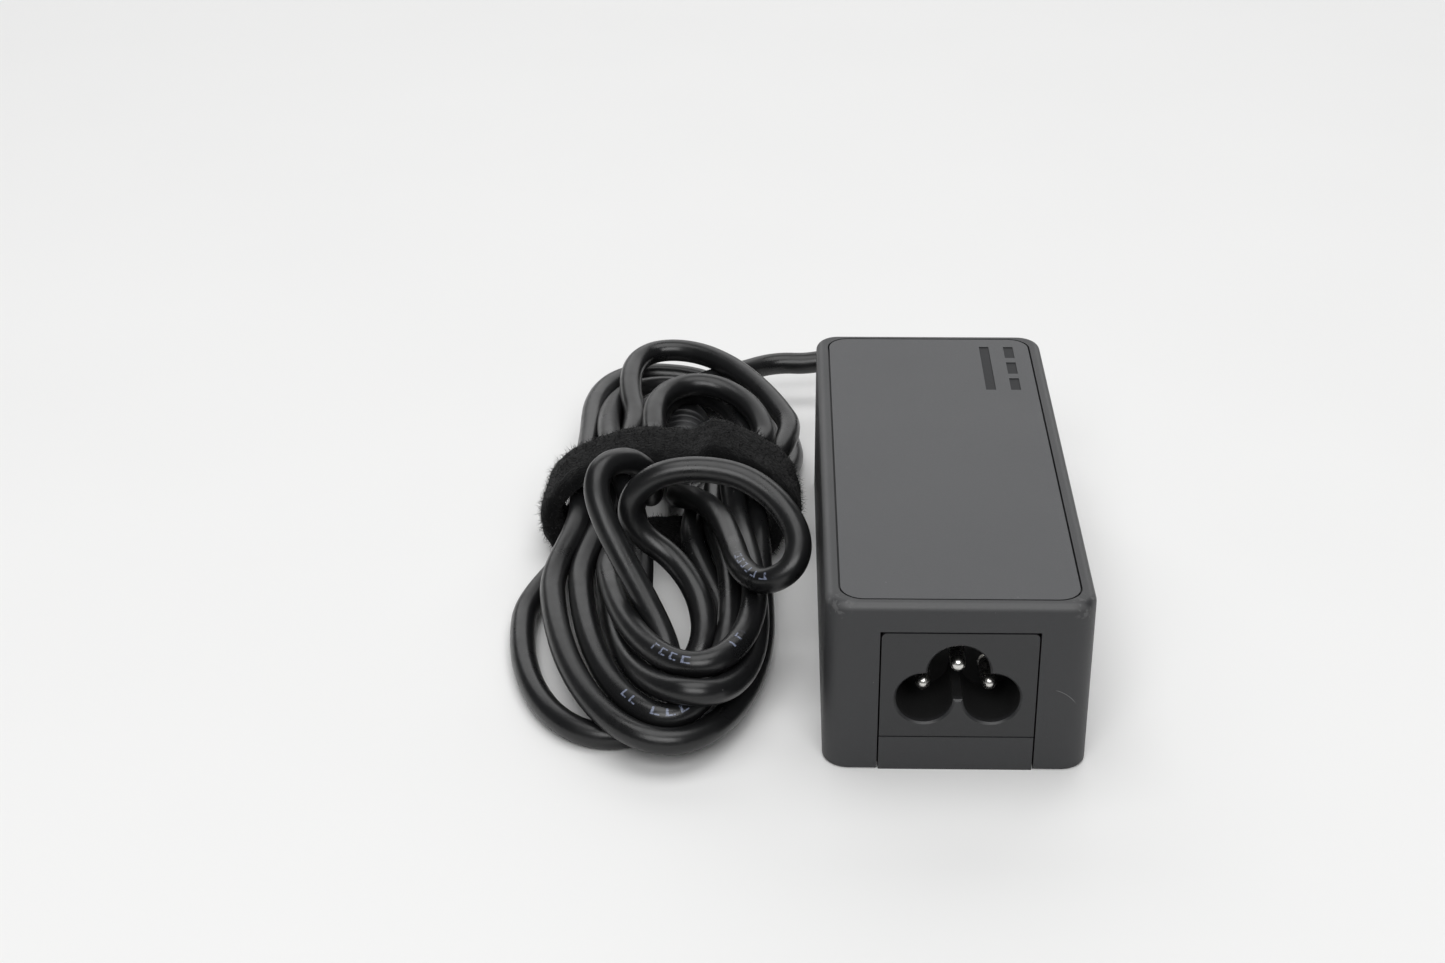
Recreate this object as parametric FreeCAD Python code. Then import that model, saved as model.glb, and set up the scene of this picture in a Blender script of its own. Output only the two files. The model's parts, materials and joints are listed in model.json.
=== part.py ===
"""A laptop power adapter: moulded brick, three-pin inlet, power board, and its output cord in a tied hank."""
import FreeCAD
import Part
import math
import os

# ---- driving dimensions, in millimetres ----
WIDTH = 40.0
LENGTH = 94.0
HEIGHT = 29.0
WALL = 2.0
CORNER = 4.0
TOP_EDGE = 1.2
BOTTOM_EDGE = 0.5

PANEL_THICK = 0.9
PANEL_INSET = 2.0
PANEL_FRONT_INSET = 1.6
PANEL_CORNER = 3.75
PANEL_GAP = 0.3
ROOF_THICK = 1.6
MARK_CORNER = (9.0, 24.6)
MARK_WIDTH = 6.0
MARK_LENGTH = 17.4
MARK_STROKE = 1.7
MARK_GAP = 1.8
MARK_DASHES = 3
MARK_DEPTH = 0.2

INLET_HALF_WIDTH = 11.6
INLET_BASE = 6.05
INLET_TOP = 24.1
INLET_DEPTH = 15.0
INLET_GAP = 0.25
INLET_CORNER = 0.8
CAVITY_DEPTH = 10.5
LOWER_LOBE = (5.0, 12.75, 4.3)
UPPER_LOBE = (0.0, 17.2, 4.7)
MOUTH_CHAMFER = 0.3
CONTACT_RADIUS = 1.18
CONTACT_ROOT_RADIUS = 1.35
POWER_TIP_DEPTH = 3.6
EARTH_TIP_DEPTH = 1.7
CONTACT_TAIL = 3.0

COVER_THICK = 2.4
COVER_GAP = 0.15
TONGUE_THICK = 2.0
LABEL_RECESS = 0.2
LABEL_THICK = 0.15
LABEL_SIZE = (26.0, 58.0)
LABEL_GAP = 0.2
LABEL_CORNER = 1.8
POST_ROOT = 0.5
TONGUE_OVERLAP = 1.0
POST_RADIUS = 1.5
BOARD_SIZE = (34.0, 74.0, 1.6)
BOARD_BASE = 5.0
BOARD_FRONT = -31.0
POST_SPOTS = [(-13.0, -27.5), (13.5, -27.5), (-15.0, 40.0), (15.0, 40.0)]
SPREADER_THICK = 0.5
SPREADER_SPAN = (-29.0, 43.0)
SPREADER_BASE = 8.0
SLOT = (-9.0, 9.0, 29.2, 30.2)
SHEET_HALF_WIDTH = 17.3
SHEET_THICK = 0.3
SHEET_MARGIN = 1.0
FIT_GAP = 0.2

# Parts on the board. A footprint is its two x and its two y values, and a spot is one x and one y.
FUSE_SPOT = (-13.3, -21.5)
FUSE_RADIUS = 3.1
FUSE_HEIGHT = 7.2
FUSE_FOOT_RADIUS = 2.4
FUSE_FOOT_HEIGHT = 0.6
THERMISTOR_SPOT = (-5.5, -22.6)
THERMISTOR_RADIUS = 4.5
THERMISTOR_THICK = 3.2
THERMISTOR_LIFT = 6.2
THERMISTOR_LEG_STEP = 2.4
THERMISTOR_LEG_RADIUS = 0.4
THERMISTOR_LEG_HEIGHT = 4.2
X_CAPACITOR = (3.0, 16.0, -25.0, -19.0)
X_CAPACITOR_HEIGHT = 11.5
X_CAPACITOR_CORNER = 0.6
CHOKE_X = 9.5
CHOKE_SPAN = (-16.6, -11.6)
CHOKE_LIFT = 7.6
CHOKE_RADIUS = 6.0
CHOKE_BORE = 3.0
CHOKE_COIL_THICK = 0.8
CHOKE_COIL_GAP = 0.9
BRIDGE = (-16.0, -12.4, -16.5, -2.5)
BRIDGE_HEIGHT = 10.0
BRIDGE_LIFT = 1.0
BRIDGE_LEGS_X = (-14.6, -13.8)
BRIDGE_LEGS_START = -15.2
BRIDGE_LEG_STEP = 3.7
BRIDGE_LEG_WIDTH = 0.8
BULK_SPOT = (-3.2, -9.0)
BULK_RADIUS = 7.8
BULK_LENGTH = 22.0
BULK_EDGE = 0.8
PRIMARY_WALL = (15.0, 16.2, -8.0, 20.0)
PRIMARY_WALL_HEIGHT = 17.0
PRIMARY_FOOT = (12.4, 15.0, -6.0, -1.0)
SECONDARY_WALL = (-16.2, -15.0, 12.0, 37.0)
SECONDARY_WALL_HEIGHT = 16.0
SECONDARY_FOOT = (-15.0, -12.7, 27.8, 31.0)
SINK_FOOT_HEIGHT = 1.2
TRANSISTOR = (10.6, 15.0, 1.0, 11.0)
TRANSISTOR_HEIGHT = 12.0
TRANSISTOR_LIFT = 3.6
TRANSISTOR_LEGS_X = (12.6, 13.3)
TRANSISTOR_LEGS_START = 3.0
TRANSISTOR_LEG_STEP = 2.6
TRANSISTOR_LEG_WIDTH = 0.7
TRANSFORMER_X = -1.0
TRANSFORMER_Y = 22.5
CORE_HALF_WIDTH = 11.5
CORE_HALF_DEPTH = 5.0
CORE_HEIGHT = 17.6
CORE_LIFT = 0.6
LIMB_HALF_WIDTH = 3.2
WINDOW_OUTSIDE = 8.5
WINDOW_HEIGHT = 11.6
WINDOW_LIFT = 3.6
SLEEVE_HALF_WIDTH = 4.2
SLEEVE_HALF_DEPTH = 6.0
FLANGE_HALF_WIDTH = 8.4
FLANGE_HALF_DEPTH = 8.0
FLANGE_THICK = 0.9
RAIL_MIDDLE = 7.4
RAIL_HALF_DEPTH = 1.3
WINDING_HALF_WIDTH = 8.0
WINDING_HALF_DEPTH = 7.6
WINDING_LIFTS = (4.6, 14.2)
WINDING_CORNER = 2.4
CHIP_X = 10.0
CHIP_Y = 12.0
CHIP_SIZE = (4.0, 5.0, 1.5)
CHIP_LIFT = 0.2
CHIP_FEET = 4
CHIP_PITCH = 1.27
CHIP_FOOT_WIDTH = 0.4
CHIP_FOOT_THICK = 0.2
CHIP_FOOT_REACH = 0.4
CHIP_FOOT_HEIGHT = 0.9
CHIP_STEP_THICK = 0.3
Y_CAPACITOR_SPOT = (13.5, 22.0)
Y_CAPACITOR_RADIUS = 2.8
Y_CAPACITOR_LIFT = 4.8
Y_CAPACITOR_LEG_STEP = 1.6
Y_CAPACITOR_LEG_RADIUS = 0.35
Y_CAPACITOR_LEG_HEIGHT = 4.0
OPTOCOUPLER = (10.4, 15.0, 29.0, 35.4)
OPTOCOUPLER_HEIGHT = 3.2
RECTIFIER = (-15.0, -12.8, 14.0, 24.0)
RECTIFIER_HEIGHT = 12.0
RECTIFIER_LIFT = 2.0
OUTPUT_CAPACITOR_LEFT_X = -10.2
OUTPUT_CAPACITOR_RIGHT_X = -1.2
OUTPUT_CAPACITOR_Y = 35.6
OUTPUT_CAPACITOR_RADIUS = 4.0
OUTPUT_CAPACITOR_HEIGHT = 14.0
OUTPUT_CAPACITOR_EDGE = 0.5
OUTPUT_CHOKE_SPOT = (7.0, 35.4)
OUTPUT_CHOKE_RADIUS = 2.2
OUTPUT_CHOKE_HEIGHT = 11.0
OUTPUT_COIL_RADIUS = 3.0
OUTPUT_COIL_HEIGHT = 9.0
PAD_HALF_WIDTH = 9.0
PAD_SPAN = (18.0, 27.0)

# Wires inside the case.
MAINS_WIRE_RADIUS = 0.9
MAINS_WIRE_STRAIGHT = 2.0
MAINS_WIRE_DROP = 3.6
MAINS_LANDING_Y = -26.4
LINE_LANDING_X = 6.5
NEUTRAL_LANDING_X = -9.0
EARTH_LANDING_X = -0.6
OUTPUT_WIRE_RADIUS = 0.8
OUTPUT_WIRE_START = 44.6
OUTPUT_WIRE_STRAIGHT = 2.0
OUTPUT_WIRE_SPREAD = (1.1, 1.8)
OUTPUT_WIRE_LANDING_Y = 41.0
OUTPUT_WIRE_KNEE = 11.0

CORD_DIAMETER = 4.2
RELIEF_LENGTH = 15.0
RELIEF_ROOT = 3.9
RELIEF_TIP = 2.7
RELIEF_HEIGHT = 14.5
RELIEF_FLANGE = 1.4
RELIEF_GROOVES = 4
RELIEF_FIRST_GROOVE = 3.0
RELIEF_GROOVE_STEP = 2.8
RELIEF_GROOVE_RADIUS = 0.55
RELIEF_GROOVE_SINK = 0.22
RELIEF_GROOVE_OUTSIDE = 0.35
RELIEF_HOLE_GAP = 0.3
TIE_X = -46.7
TIE_HALF_WIDTH = 20.3
TIE_SHOULDER = 8.0
TIE_TOP = 19.6
TIE_CORNER = 6.0
TIE_THICK = 2.6
TIE_SPAN = (15.0, 28.0)
FLOOR_GAP = 0.1
FRONT_LOBE = (-51.2, -6.0, 21.0, 42.3)
FRONT_LOBE_HOLE = (-48.0, -9.0, 11.0, 22.6)
FRONT_LOBE_TOP = 13.5
BACK_LOBE = (-44.2, 43.0, 21.4, 38.5)
BACK_LOBE_HOLE = (-44.5, 52.0, 9.6, 17.6)
BACK_LOBE_TOP = 14.5
WAIST_OVERRUN = 4.5

PLUG_X = -44.5
PLUG_Z = 5.3
PLUG_START = 36.0
TAIL_START = 29.5
PLUG_RELIEF = 7.0
PLUG_BODY = 15.0
PLUG_BARREL = 9.5
PLUG_RADIUS = 4.9
BARREL_RADIUS = 2.75
BARREL_BORE = 1.25
BARREL_WALL = 0.35
CONTACT_WALL = 0.25
INSULATOR_RECESS = 0.3
CONTACT_RECESS = 0.6
PLUG_RELIEF_START = 0.4
PLUG_RELIEF_END = 3.6
PLUG_EDGE = 0.9
GRIP_RINGS = 4
GRIP_FIRST = 4.0
GRIP_STEP = 2.2
GRIP_GROOVE_RADIUS = 0.6
GRIP_GROOVE_OUTSIDE = 0.2

# How far a cutting tool reaches past what it cuts, and how close two lengths must be to count as one.
OVERRUN = 1.0
TINY = 1e-6
FAR = 200.0

# The lead from the case to the hank.
LEAD_ROUTE = [
    (0.0, LENGTH / 2 + RELIEF_LENGTH, RELIEF_HEIGHT),
    (0.0, 69.0, RELIEF_HEIGHT),
    (-4.5, 76.0, 13.2),
    (-12.0, 78.8, 10.6),
    (-19.8, 77.8, 8.4),
    (-27.5, 78.4, 8.4),
    (-34.0, 74.0, 8.4),
]

# The narrow loop that stands up beside the tie.
NARROW_LOOP_ROUTE = [
    (-48.6, 11.0, 14.8),
    (-48.2, 6.4, 20.0),
    (-49.0, 2.0, 25.4),
    (-51.8, -1.6, 29.0),
    (-55.4, -5.0, 29.4),
    (-56.4, -8.6, 27.2),
    (-54.8, -12.0, 23.4),
    (-51.6, -16.4, 18.8),
    (-48.0, -21.2, 14.4),
    (-44.8, -26.4, 10.4),
]

# The wide loop that rises from the hank's front, crosses it and curls back down.
WIDE_LOOP_ROUTE = [
    (-38.8, -20.5, 12.0),
    (-40.6, -15.8, 14.0),
    (-44.0, -11.4, 16.2),
    (-48.6, -9.6, 18.8),
    (-51.0, -9.2, 22.4),
    (-50.0, -9.2, 27.0),
    (-45.6, -9.0, 30.4),
    (-39.0, -8.9, 31.2),
    (-32.0, -10.2, 30.4),
    (-26.4, -13.8, 27.6),
    (-23.2, -18.8, 24.0),
    (-24.4, -22.8, 20.6),
    (-29.2, -22.6, 17.8),
    (-32.8, -15.6, 16.4),
    (-34.2, -6.0, 15.4),
]

FRONT = -LENGTH / 2
BACK = LENGTH / 2
CAVITY_TOP = HEIGHT - PANEL_THICK - ROOF_THICK
BOARD_TOP = BOARD_BASE + BOARD_SIZE[2]
ALONG_Y = (0, 1, 0)
UP = (0, 0, 1)


# ---- small geometry helpers ----
def vec(x, y, z):
    return FreeCAD.Vector(x, y, z)


def block(x0, x1, y0, y1, z0, z1):
    return Part.makeBox(x1 - x0, y1 - y0, z1 - z0, vec(x0, y0, z0))


def rod(start, along, radius, length):
    return Part.makeCylinder(radius, length, vec(*start), vec(*along))


def upright_edges(shape):
    found = []
    for edge in shape.Edges:
        box = edge.BoundBox
        if box.XLength < TINY and box.YLength < TINY:
            found.append(edge)
    return found


def round_block(x0, x1, y0, y1, z0, z1, radius):
    shape = block(x0, x1, y0, y1, z0, z1)
    return shape.makeFillet(radius, upright_edges(shape))


def edges_at_height(shape, height):
    return [e for e in shape.Edges if e.BoundBox.ZLength < TINY and abs(e.BoundBox.ZMin - height) < TINY]


def fuse_all(shapes):
    return shapes[0].multiFuse(shapes[1:]).removeSplitter() if len(shapes) > 1 else shapes[0]


def largest_solid(shape):
    return max(shape.Solids, key=lambda solid: solid.Volume)


def bend_radii(route):
    """The radius of the arc at each inner point: 0.45 of the shorter run over the tangent of half the turn."""
    radii = []
    for before, here, after in zip(route, route[1:], route[2:]):
        a, b, c = vec(*before), vec(*here), vec(*after)
        turn = (b - a).getAngle(c - b)
        shorter = min((b - a).Length, (c - b).Length)
        radii.append(0.45 * shorter / math.tan(turn / 2))
    return radii


def tube(route, radius):
    """A round bar along straight runs joined by tangent arcs."""
    edges = []
    last = vec(*route[0])
    for before, here, after, bend in zip(route, route[1:], route[2:], bend_radii(route)):
        a, b, c = vec(*before), vec(*here), vec(*after)
        into = (b - a).normalize()
        out = (c - b).normalize()
        half = into.getAngle(out) / 2
        reach = bend * math.tan(half)
        start = b - into * reach
        end = b + out * reach
        to_middle = (out - into).normalize()
        middle = b + to_middle * (bend / math.cos(half) - bend)
        edges.append(Part.LineSegment(last, start).toShape())
        edges.append(Part.Arc(start, middle, end).toShape())
        last = end
    edges.append(Part.LineSegment(last, vec(*route[-1])).toShape())
    path = Part.Wire(edges)
    first_run = vec(*route[1]) - vec(*route[0])
    ring = Part.Wire(Part.makeCircle(radius, vec(*route[0]), first_run))
    bar = path.makePipeShell([ring], True, False)
    expected = math.pi * radius ** 2 * path.Length
    print("tube volume over section times length: %.4f" % (bar.Volume / expected))
    return bar


def arched_prism(inset, y0, y1):
    """A prism along Y with a flat base, rounded lower corners and an arched top, inside the tie's outline."""
    half = TIE_HALF_WIDTH - inset
    base = FLOOR_GAP + inset
    corner = TIE_CORNER - inset
    rise = TIE_TOP - inset - TIE_SHOULDER
    lower = block(TIE_X - half, TIE_X + half, y0, y1, base, TIE_SHOULDER)
    lower_edges = [e for e in lower.Edges if e.BoundBox.XLength < TINY and e.BoundBox.ZLength < TINY
                   and e.BoundBox.ZMin < base + TINY]
    lower = lower.makeFillet(corner, lower_edges)
    curve = Part.Ellipse(vec(0, 0, 0), half, rise).toShape()
    curve.rotate(vec(0, 0, 0), vec(1, 0, 0), 90)
    curve.translate(vec(TIE_X, y0, TIE_SHOULDER))
    arch = Part.Face(Part.Wire(curve)).extrude(vec(0, y1 - y0, 0))
    arch = arch.common(block(TIE_X - half, TIE_X + half, y0, y1, TIE_SHOULDER, HEIGHT))
    return lower.fuse(arch).removeSplitter()


def oval_plate(middle_x, middle_y, half_x, half_y, z0, z1):
    """A flat plate with an elliptical outline."""
    if half_x >= half_y:
        curve = Part.Ellipse(vec(0, 0, 0), half_x, half_y).toShape()
    else:
        curve = Part.Ellipse(vec(0, 0, 0), half_y, half_x).toShape()
        curve.rotate(vec(0, 0, 0), vec(0, 0, 1), 90)
    curve.translate(vec(middle_x, middle_y, z0))
    return Part.Face(Part.Wire(curve)).extrude(vec(0, 0, z1 - z0))


# ---- case ----
def upper_shell():
    """The moulded body: four walls and a roof, with a recess in the roof for the panel."""
    half = WIDTH / 2
    body = round_block(-half, half, FRONT, BACK, 0, HEIGHT, CORNER)
    body = body.makeFillet(TOP_EDGE, edges_at_height(body, HEIGHT))
    body = body.makeFillet(BOTTOM_EDGE, edges_at_height(body, 0))
    inside = round_block(-half + WALL, half - WALL, FRONT + WALL, BACK - WALL, -OVERRUN, CAVITY_TOP,
                         CORNER - WALL)
    body = body.cut(inside)
    recess = round_block(-half + PANEL_INSET, half - PANEL_INSET, FRONT + PANEL_FRONT_INSET,
                         BACK - PANEL_FRONT_INSET, HEIGHT - PANEL_THICK, HEIGHT + OVERRUN, PANEL_CORNER)
    body = body.cut(recess)
    reach = INLET_HALF_WIDTH + INLET_GAP
    body = body.cut(block(-reach, reach, FRONT - OVERRUN, FRONT + WALL + OVERRUN, -OVERRUN,
                          INLET_TOP + INLET_GAP))
    hole = rod((0, BACK - WALL - OVERRUN, RELIEF_HEIGHT), ALONG_Y, RELIEF_ROOT + RELIEF_HOLE_GAP,
               WALL + 2 * OVERRUN)
    return body.cut(hole)


def top_panel():
    """The inset panel of the roof, flush with the top, with a hairline gap round it."""
    half = WIDTH / 2 - PANEL_INSET - PANEL_GAP
    front = FRONT + PANEL_FRONT_INSET + PANEL_GAP
    plate = round_block(-half, half, front, -front, HEIGHT - PANEL_THICK, HEIGHT, PANEL_CORNER - PANEL_GAP)
    mark = direct_current_mark()
    return plate.cut(mark)


def direct_current_mark():
    """A shallow mark in the panel: one long bar beside a row of three dashes."""
    floor = HEIGHT - MARK_DEPTH
    dash_step = (MARK_LENGTH + MARK_GAP) / MARK_DASHES
    left, start = MARK_CORNER
    right = left + MARK_WIDTH - MARK_STROKE
    strokes = [block(left, left + MARK_STROKE, start, start + MARK_LENGTH, floor, HEIGHT + OVERRUN)]
    for index in range(MARK_DASHES):
        y = start + index * dash_step
        end = y + dash_step - MARK_GAP
        strokes.append(block(right, right + MARK_STROKE, y, end, floor, HEIGHT + OVERRUN))
    return Part.makeCompound(strokes)


def bottom_cover():
    """The base plate, its tongue in the front wall and the four posts that carry the board."""
    half = WIDTH / 2 - WALL - COVER_GAP
    ends = LENGTH / 2 - WALL - COVER_GAP
    plate = round_block(-half, half, -ends, ends, 0, COVER_THICK, CORNER - WALL - COVER_GAP)
    tongue = block(-INLET_HALF_WIDTH, INLET_HALF_WIDTH, FRONT, FRONT + TONGUE_THICK + TONGUE_OVERLAP, 0,
                   INLET_BASE - FIT_GAP)
    post_base = COVER_THICK - POST_ROOT
    posts = [rod((x, y, post_base), UP, POST_RADIUS, BOARD_BASE - post_base) for x, y in POST_SPOTS]
    cover = fuse_all([plate, tongue] + posts)
    recess = round_block(-LABEL_SIZE[0] / 2, LABEL_SIZE[0] / 2, -LABEL_SIZE[1] / 2, LABEL_SIZE[1] / 2,
                         -OVERRUN, LABEL_RECESS, LABEL_CORNER + LABEL_GAP)
    return cover.cut(recess)


def rating_label():
    """The blank label in its recess under the case."""
    half_x = LABEL_SIZE[0] / 2 - LABEL_GAP
    half_y = LABEL_SIZE[1] / 2 - LABEL_GAP
    base = LABEL_RECESS - LABEL_THICK
    return round_block(-half_x, half_x, -half_y, half_y, base, LABEL_RECESS, LABEL_CORNER)


# ---- mains inlet ----
def lobe_cutter(lobe, side):
    x, z, radius = lobe
    return rod((side * x, FRONT - OVERRUN, z), ALONG_Y, radius, CAVITY_DEPTH + OVERRUN)


def inlet_block():
    """The inlet's moulding, with a cloverleaf cavity and three holes for its contacts."""
    body = block(-INLET_HALF_WIDTH, INLET_HALF_WIDTH, FRONT, FRONT + INLET_DEPTH, INLET_BASE, INLET_TOP)
    top_edges = [e for e in body.Edges if e.BoundBox.ZLength < TINY and e.BoundBox.XLength < TINY
                 and e.BoundBox.ZMin > INLET_TOP - TINY]
    body = body.makeFillet(INLET_CORNER, top_edges)
    lobes = [(-1, LOWER_LOBE), (1, LOWER_LOBE), (1, UPPER_LOBE)]
    body = body.cut(fuse_all([lobe_cutter(lobe, side) for side, lobe in lobes]))
    for side, (x, z, radius) in lobes:
        spot = vec(side * x, FRONT, z)
        mouth = Part.makeCone(radius + MOUTH_CHAMFER, radius, MOUTH_CHAMFER, spot, vec(*ALONG_Y))
        body = body.cut(mouth)
    for x, z in contact_spots():
        body = body.cut(rod((x, FRONT, z), ALONG_Y, CONTACT_ROOT_RADIUS, INLET_DEPTH + OVERRUN))
    return body


def contact_spots():
    return [(-LOWER_LOBE[0], LOWER_LOBE[1]), (LOWER_LOBE[0], LOWER_LOBE[1]), (UPPER_LOBE[0], UPPER_LOBE[1])]


def contact(x, z, tip_depth):
    """A round contact with a domed tip, and a thicker root that stands out behind the moulding."""
    dome_middle = FRONT + tip_depth + CONTACT_RADIUS
    floor = FRONT + CAVITY_DEPTH
    shank = rod((x, dome_middle, z), ALONG_Y, CONTACT_RADIUS, floor - dome_middle)
    root = rod((x, floor, z), ALONG_Y, CONTACT_ROOT_RADIUS, INLET_DEPTH - CAVITY_DEPTH + CONTACT_TAIL)
    dome = Part.makeSphere(CONTACT_RADIUS, vec(x, dome_middle, z))
    return fuse_all([shank, dome, root])


# ---- power board ----
def main_board():
    """The circuit board, whose bare faces carry every electrical part."""
    board = block(-BOARD_SIZE[0] / 2, BOARD_SIZE[0] / 2, BOARD_FRONT, BOARD_FRONT + BOARD_SIZE[1],
                  BOARD_BASE, BOARD_TOP)
    slot = block(*SLOT, BOARD_BASE - OVERRUN, BOARD_TOP + OVERRUN)
    return board.cut(slot)


def insulation_sheet():
    """The thin sheet between the base plate and the board, holed for the posts."""
    sheet = block(-SHEET_HALF_WIDTH, SHEET_HALF_WIDTH, BOARD_FRONT - SHEET_MARGIN,
                  BACK - WALL - SHEET_MARGIN, COVER_THICK, COVER_THICK + SHEET_THICK)
    for x, y in POST_SPOTS:
        sheet = sheet.cut(rod((x, y, 0), UP, POST_RADIUS, BOARD_BASE))
    return sheet


def on_board(x0, x1, y0, y1, height, lift=0.0):
    return block(x0, x1, y0, y1, BOARD_TOP + lift, BOARD_TOP + lift + height)


def fuse_link():
    """The fuse in its round holder."""
    x, y = FUSE_SPOT
    foot = rod((x, y, BOARD_TOP), UP, FUSE_FOOT_RADIUS, FUSE_FOOT_HEIGHT)
    return foot.fuse(rod((x, y, BOARD_TOP + FUSE_FOOT_HEIGHT), UP, FUSE_RADIUS, FUSE_HEIGHT))


def disc_part(spot, radius, thick, lift, leg_step, leg_radius, leg_height):
    """A dipped disc that stands on two legs, half its thickness behind its front face."""
    x, y = spot
    disc = rod((x, y, BOARD_TOP + lift), ALONG_Y, radius, thick)
    legs = [rod((x + side * leg_step, y + thick / 2, BOARD_TOP), UP, leg_radius, leg_height)
            for side in (-1, 1)]
    return fuse_all([disc] + legs)


def inrush_thermistor():
    return disc_part(THERMISTOR_SPOT, THERMISTOR_RADIUS, THERMISTOR_THICK, THERMISTOR_LIFT, THERMISTOR_LEG_STEP,
                     THERMISTOR_LEG_RADIUS, THERMISTOR_LEG_HEIGHT)


def y_capacitor():
    return disc_part(Y_CAPACITOR_SPOT, Y_CAPACITOR_RADIUS, Y_CAPACITOR_RADIUS, Y_CAPACITOR_LIFT,
                     Y_CAPACITOR_LEG_STEP, Y_CAPACITOR_LEG_RADIUS, Y_CAPACITOR_LEG_HEIGHT)


def x_capacitor():
    shape = on_board(*X_CAPACITOR, X_CAPACITOR_HEIGHT)
    return shape.makeFillet(X_CAPACITOR_CORNER, upright_edges(shape))


def choke_ring(radius, bore, spread):
    """A ring on edge round the choke's axis, longer than the core by the spread at each end."""
    start, end = CHOKE_SPAN
    middle = (CHOKE_X, start - spread, BOARD_TOP + CHOKE_LIFT)
    length = end - start + 2 * spread
    return rod(middle, ALONG_Y, radius, length).cut(rod(middle, ALONG_Y, bore, length))


def choke_core():
    """The ring core of the line filter, standing on edge."""
    return choke_ring(CHOKE_RADIUS, CHOKE_BORE, 0)


def choke_winding(side):
    """Half of the ring core's winding: a thick sleeve over one side of the ring."""
    sleeve = choke_ring(CHOKE_RADIUS + CHOKE_COIL_THICK, CHOKE_BORE - CHOKE_COIL_THICK, CHOKE_COIL_THICK)
    sleeve = sleeve.cut(choke_core())
    if side < 0:
        return sleeve.common(block(-FAR, CHOKE_X - CHOKE_COIL_GAP, -FAR, FAR, 0, FAR))
    return sleeve.common(block(CHOKE_X + CHOKE_COIL_GAP, FAR, -FAR, FAR, 0, FAR))


def bridge_rectifier():
    """The bridge on its four legs."""
    legs = []
    for index in range(4):
        start = BRIDGE_LEGS_START + index * BRIDGE_LEG_STEP
        legs.append(on_board(*BRIDGE_LEGS_X, start, start + BRIDGE_LEG_WIDTH, BRIDGE_LIFT))
    return fuse_all([on_board(*BRIDGE, BRIDGE_HEIGHT, BRIDGE_LIFT)] + legs)


def bulk_capacitor():
    """The large capacitor, lying on the board."""
    can = rod((*BULK_SPOT, BOARD_TOP + BULK_RADIUS), ALONG_Y, BULK_RADIUS, BULK_LENGTH)
    ends = [edge for edge in can.Edges if edge.BoundBox.YLength < TINY]
    return can.makeFillet(BULK_EDGE, ends)


def heat_sink(wall, height, foot):
    """A bent plate: an upright wall along the case's side with a short foot on the board."""
    return on_board(*wall, height).fuse(on_board(*foot, SINK_FOOT_HEIGHT)).removeSplitter()


def switching_transistor():
    """The main switch on its three legs, flat against its heat sink."""
    legs = []
    for index in range(3):
        start = TRANSISTOR_LEGS_START + index * TRANSISTOR_LEG_STEP
        legs.append(on_board(*TRANSISTOR_LEGS_X, start, start + TRANSISTOR_LEG_WIDTH, TRANSISTOR_LIFT))
    return fuse_all([on_board(*TRANSISTOR, TRANSISTOR_HEIGHT, TRANSISTOR_LIFT)] + legs)


def round_transformer(half_x, half_y, height, lift=0.0, middle_y=0.0):
    """A block over the board whose middle is the transformer's middle, or beside it along Y."""
    x, y = TRANSFORMER_X, TRANSFORMER_Y + middle_y
    return on_board(x - half_x, x + half_x, y - half_y, y + half_y, height, lift)


def transformer_core():
    """Two ferrite halves that close round the bobbin: two side limbs, two yokes and a centre limb."""
    outer = round_transformer(CORE_HALF_WIDTH, CORE_HALF_DEPTH, CORE_HEIGHT, CORE_LIFT)
    depth = CORE_HALF_DEPTH + OVERRUN
    window = round_transformer(WINDOW_OUTSIDE, depth, WINDOW_HEIGHT, WINDOW_LIFT)
    limb = round_transformer(LIMB_HALF_WIDTH, depth, WINDOW_HEIGHT, WINDOW_LIFT)
    return outer.cut(window.cut(limb))


def transformer_bobbin():
    """The bobbin: a square tube round the centre limb with a flange at each end and a pin rail."""
    sleeve = round_transformer(SLEEVE_HALF_WIDTH, SLEEVE_HALF_DEPTH, WINDOW_HEIGHT, WINDOW_LIFT)
    upper_lift = WINDOW_LIFT + WINDOW_HEIGHT - FLANGE_THICK
    flanges = [round_transformer(FLANGE_HALF_WIDTH, FLANGE_HALF_DEPTH, FLANGE_THICK, lift)
               for lift in (WINDOW_LIFT, upper_lift)]
    rails = [round_transformer(FLANGE_HALF_WIDTH, RAIL_HALF_DEPTH, WINDOW_LIFT, 0, side * RAIL_MIDDLE)
             for side in (-1, 1)]
    return fuse_all([sleeve] + flanges + rails).cut(transformer_core())


def transformer_winding():
    """The taped winding between the bobbin's flanges."""
    x, y = TRANSFORMER_X, TRANSFORMER_Y
    low, high = WINDING_LIFTS
    wound = round_block(x - WINDING_HALF_WIDTH, x + WINDING_HALF_WIDTH, y - WINDING_HALF_DEPTH,
                        y + WINDING_HALF_DEPTH, BOARD_TOP + low, BOARD_TOP + high, WINDING_CORNER)
    return wound.cut(transformer_bobbin()).cut(transformer_core())


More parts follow.
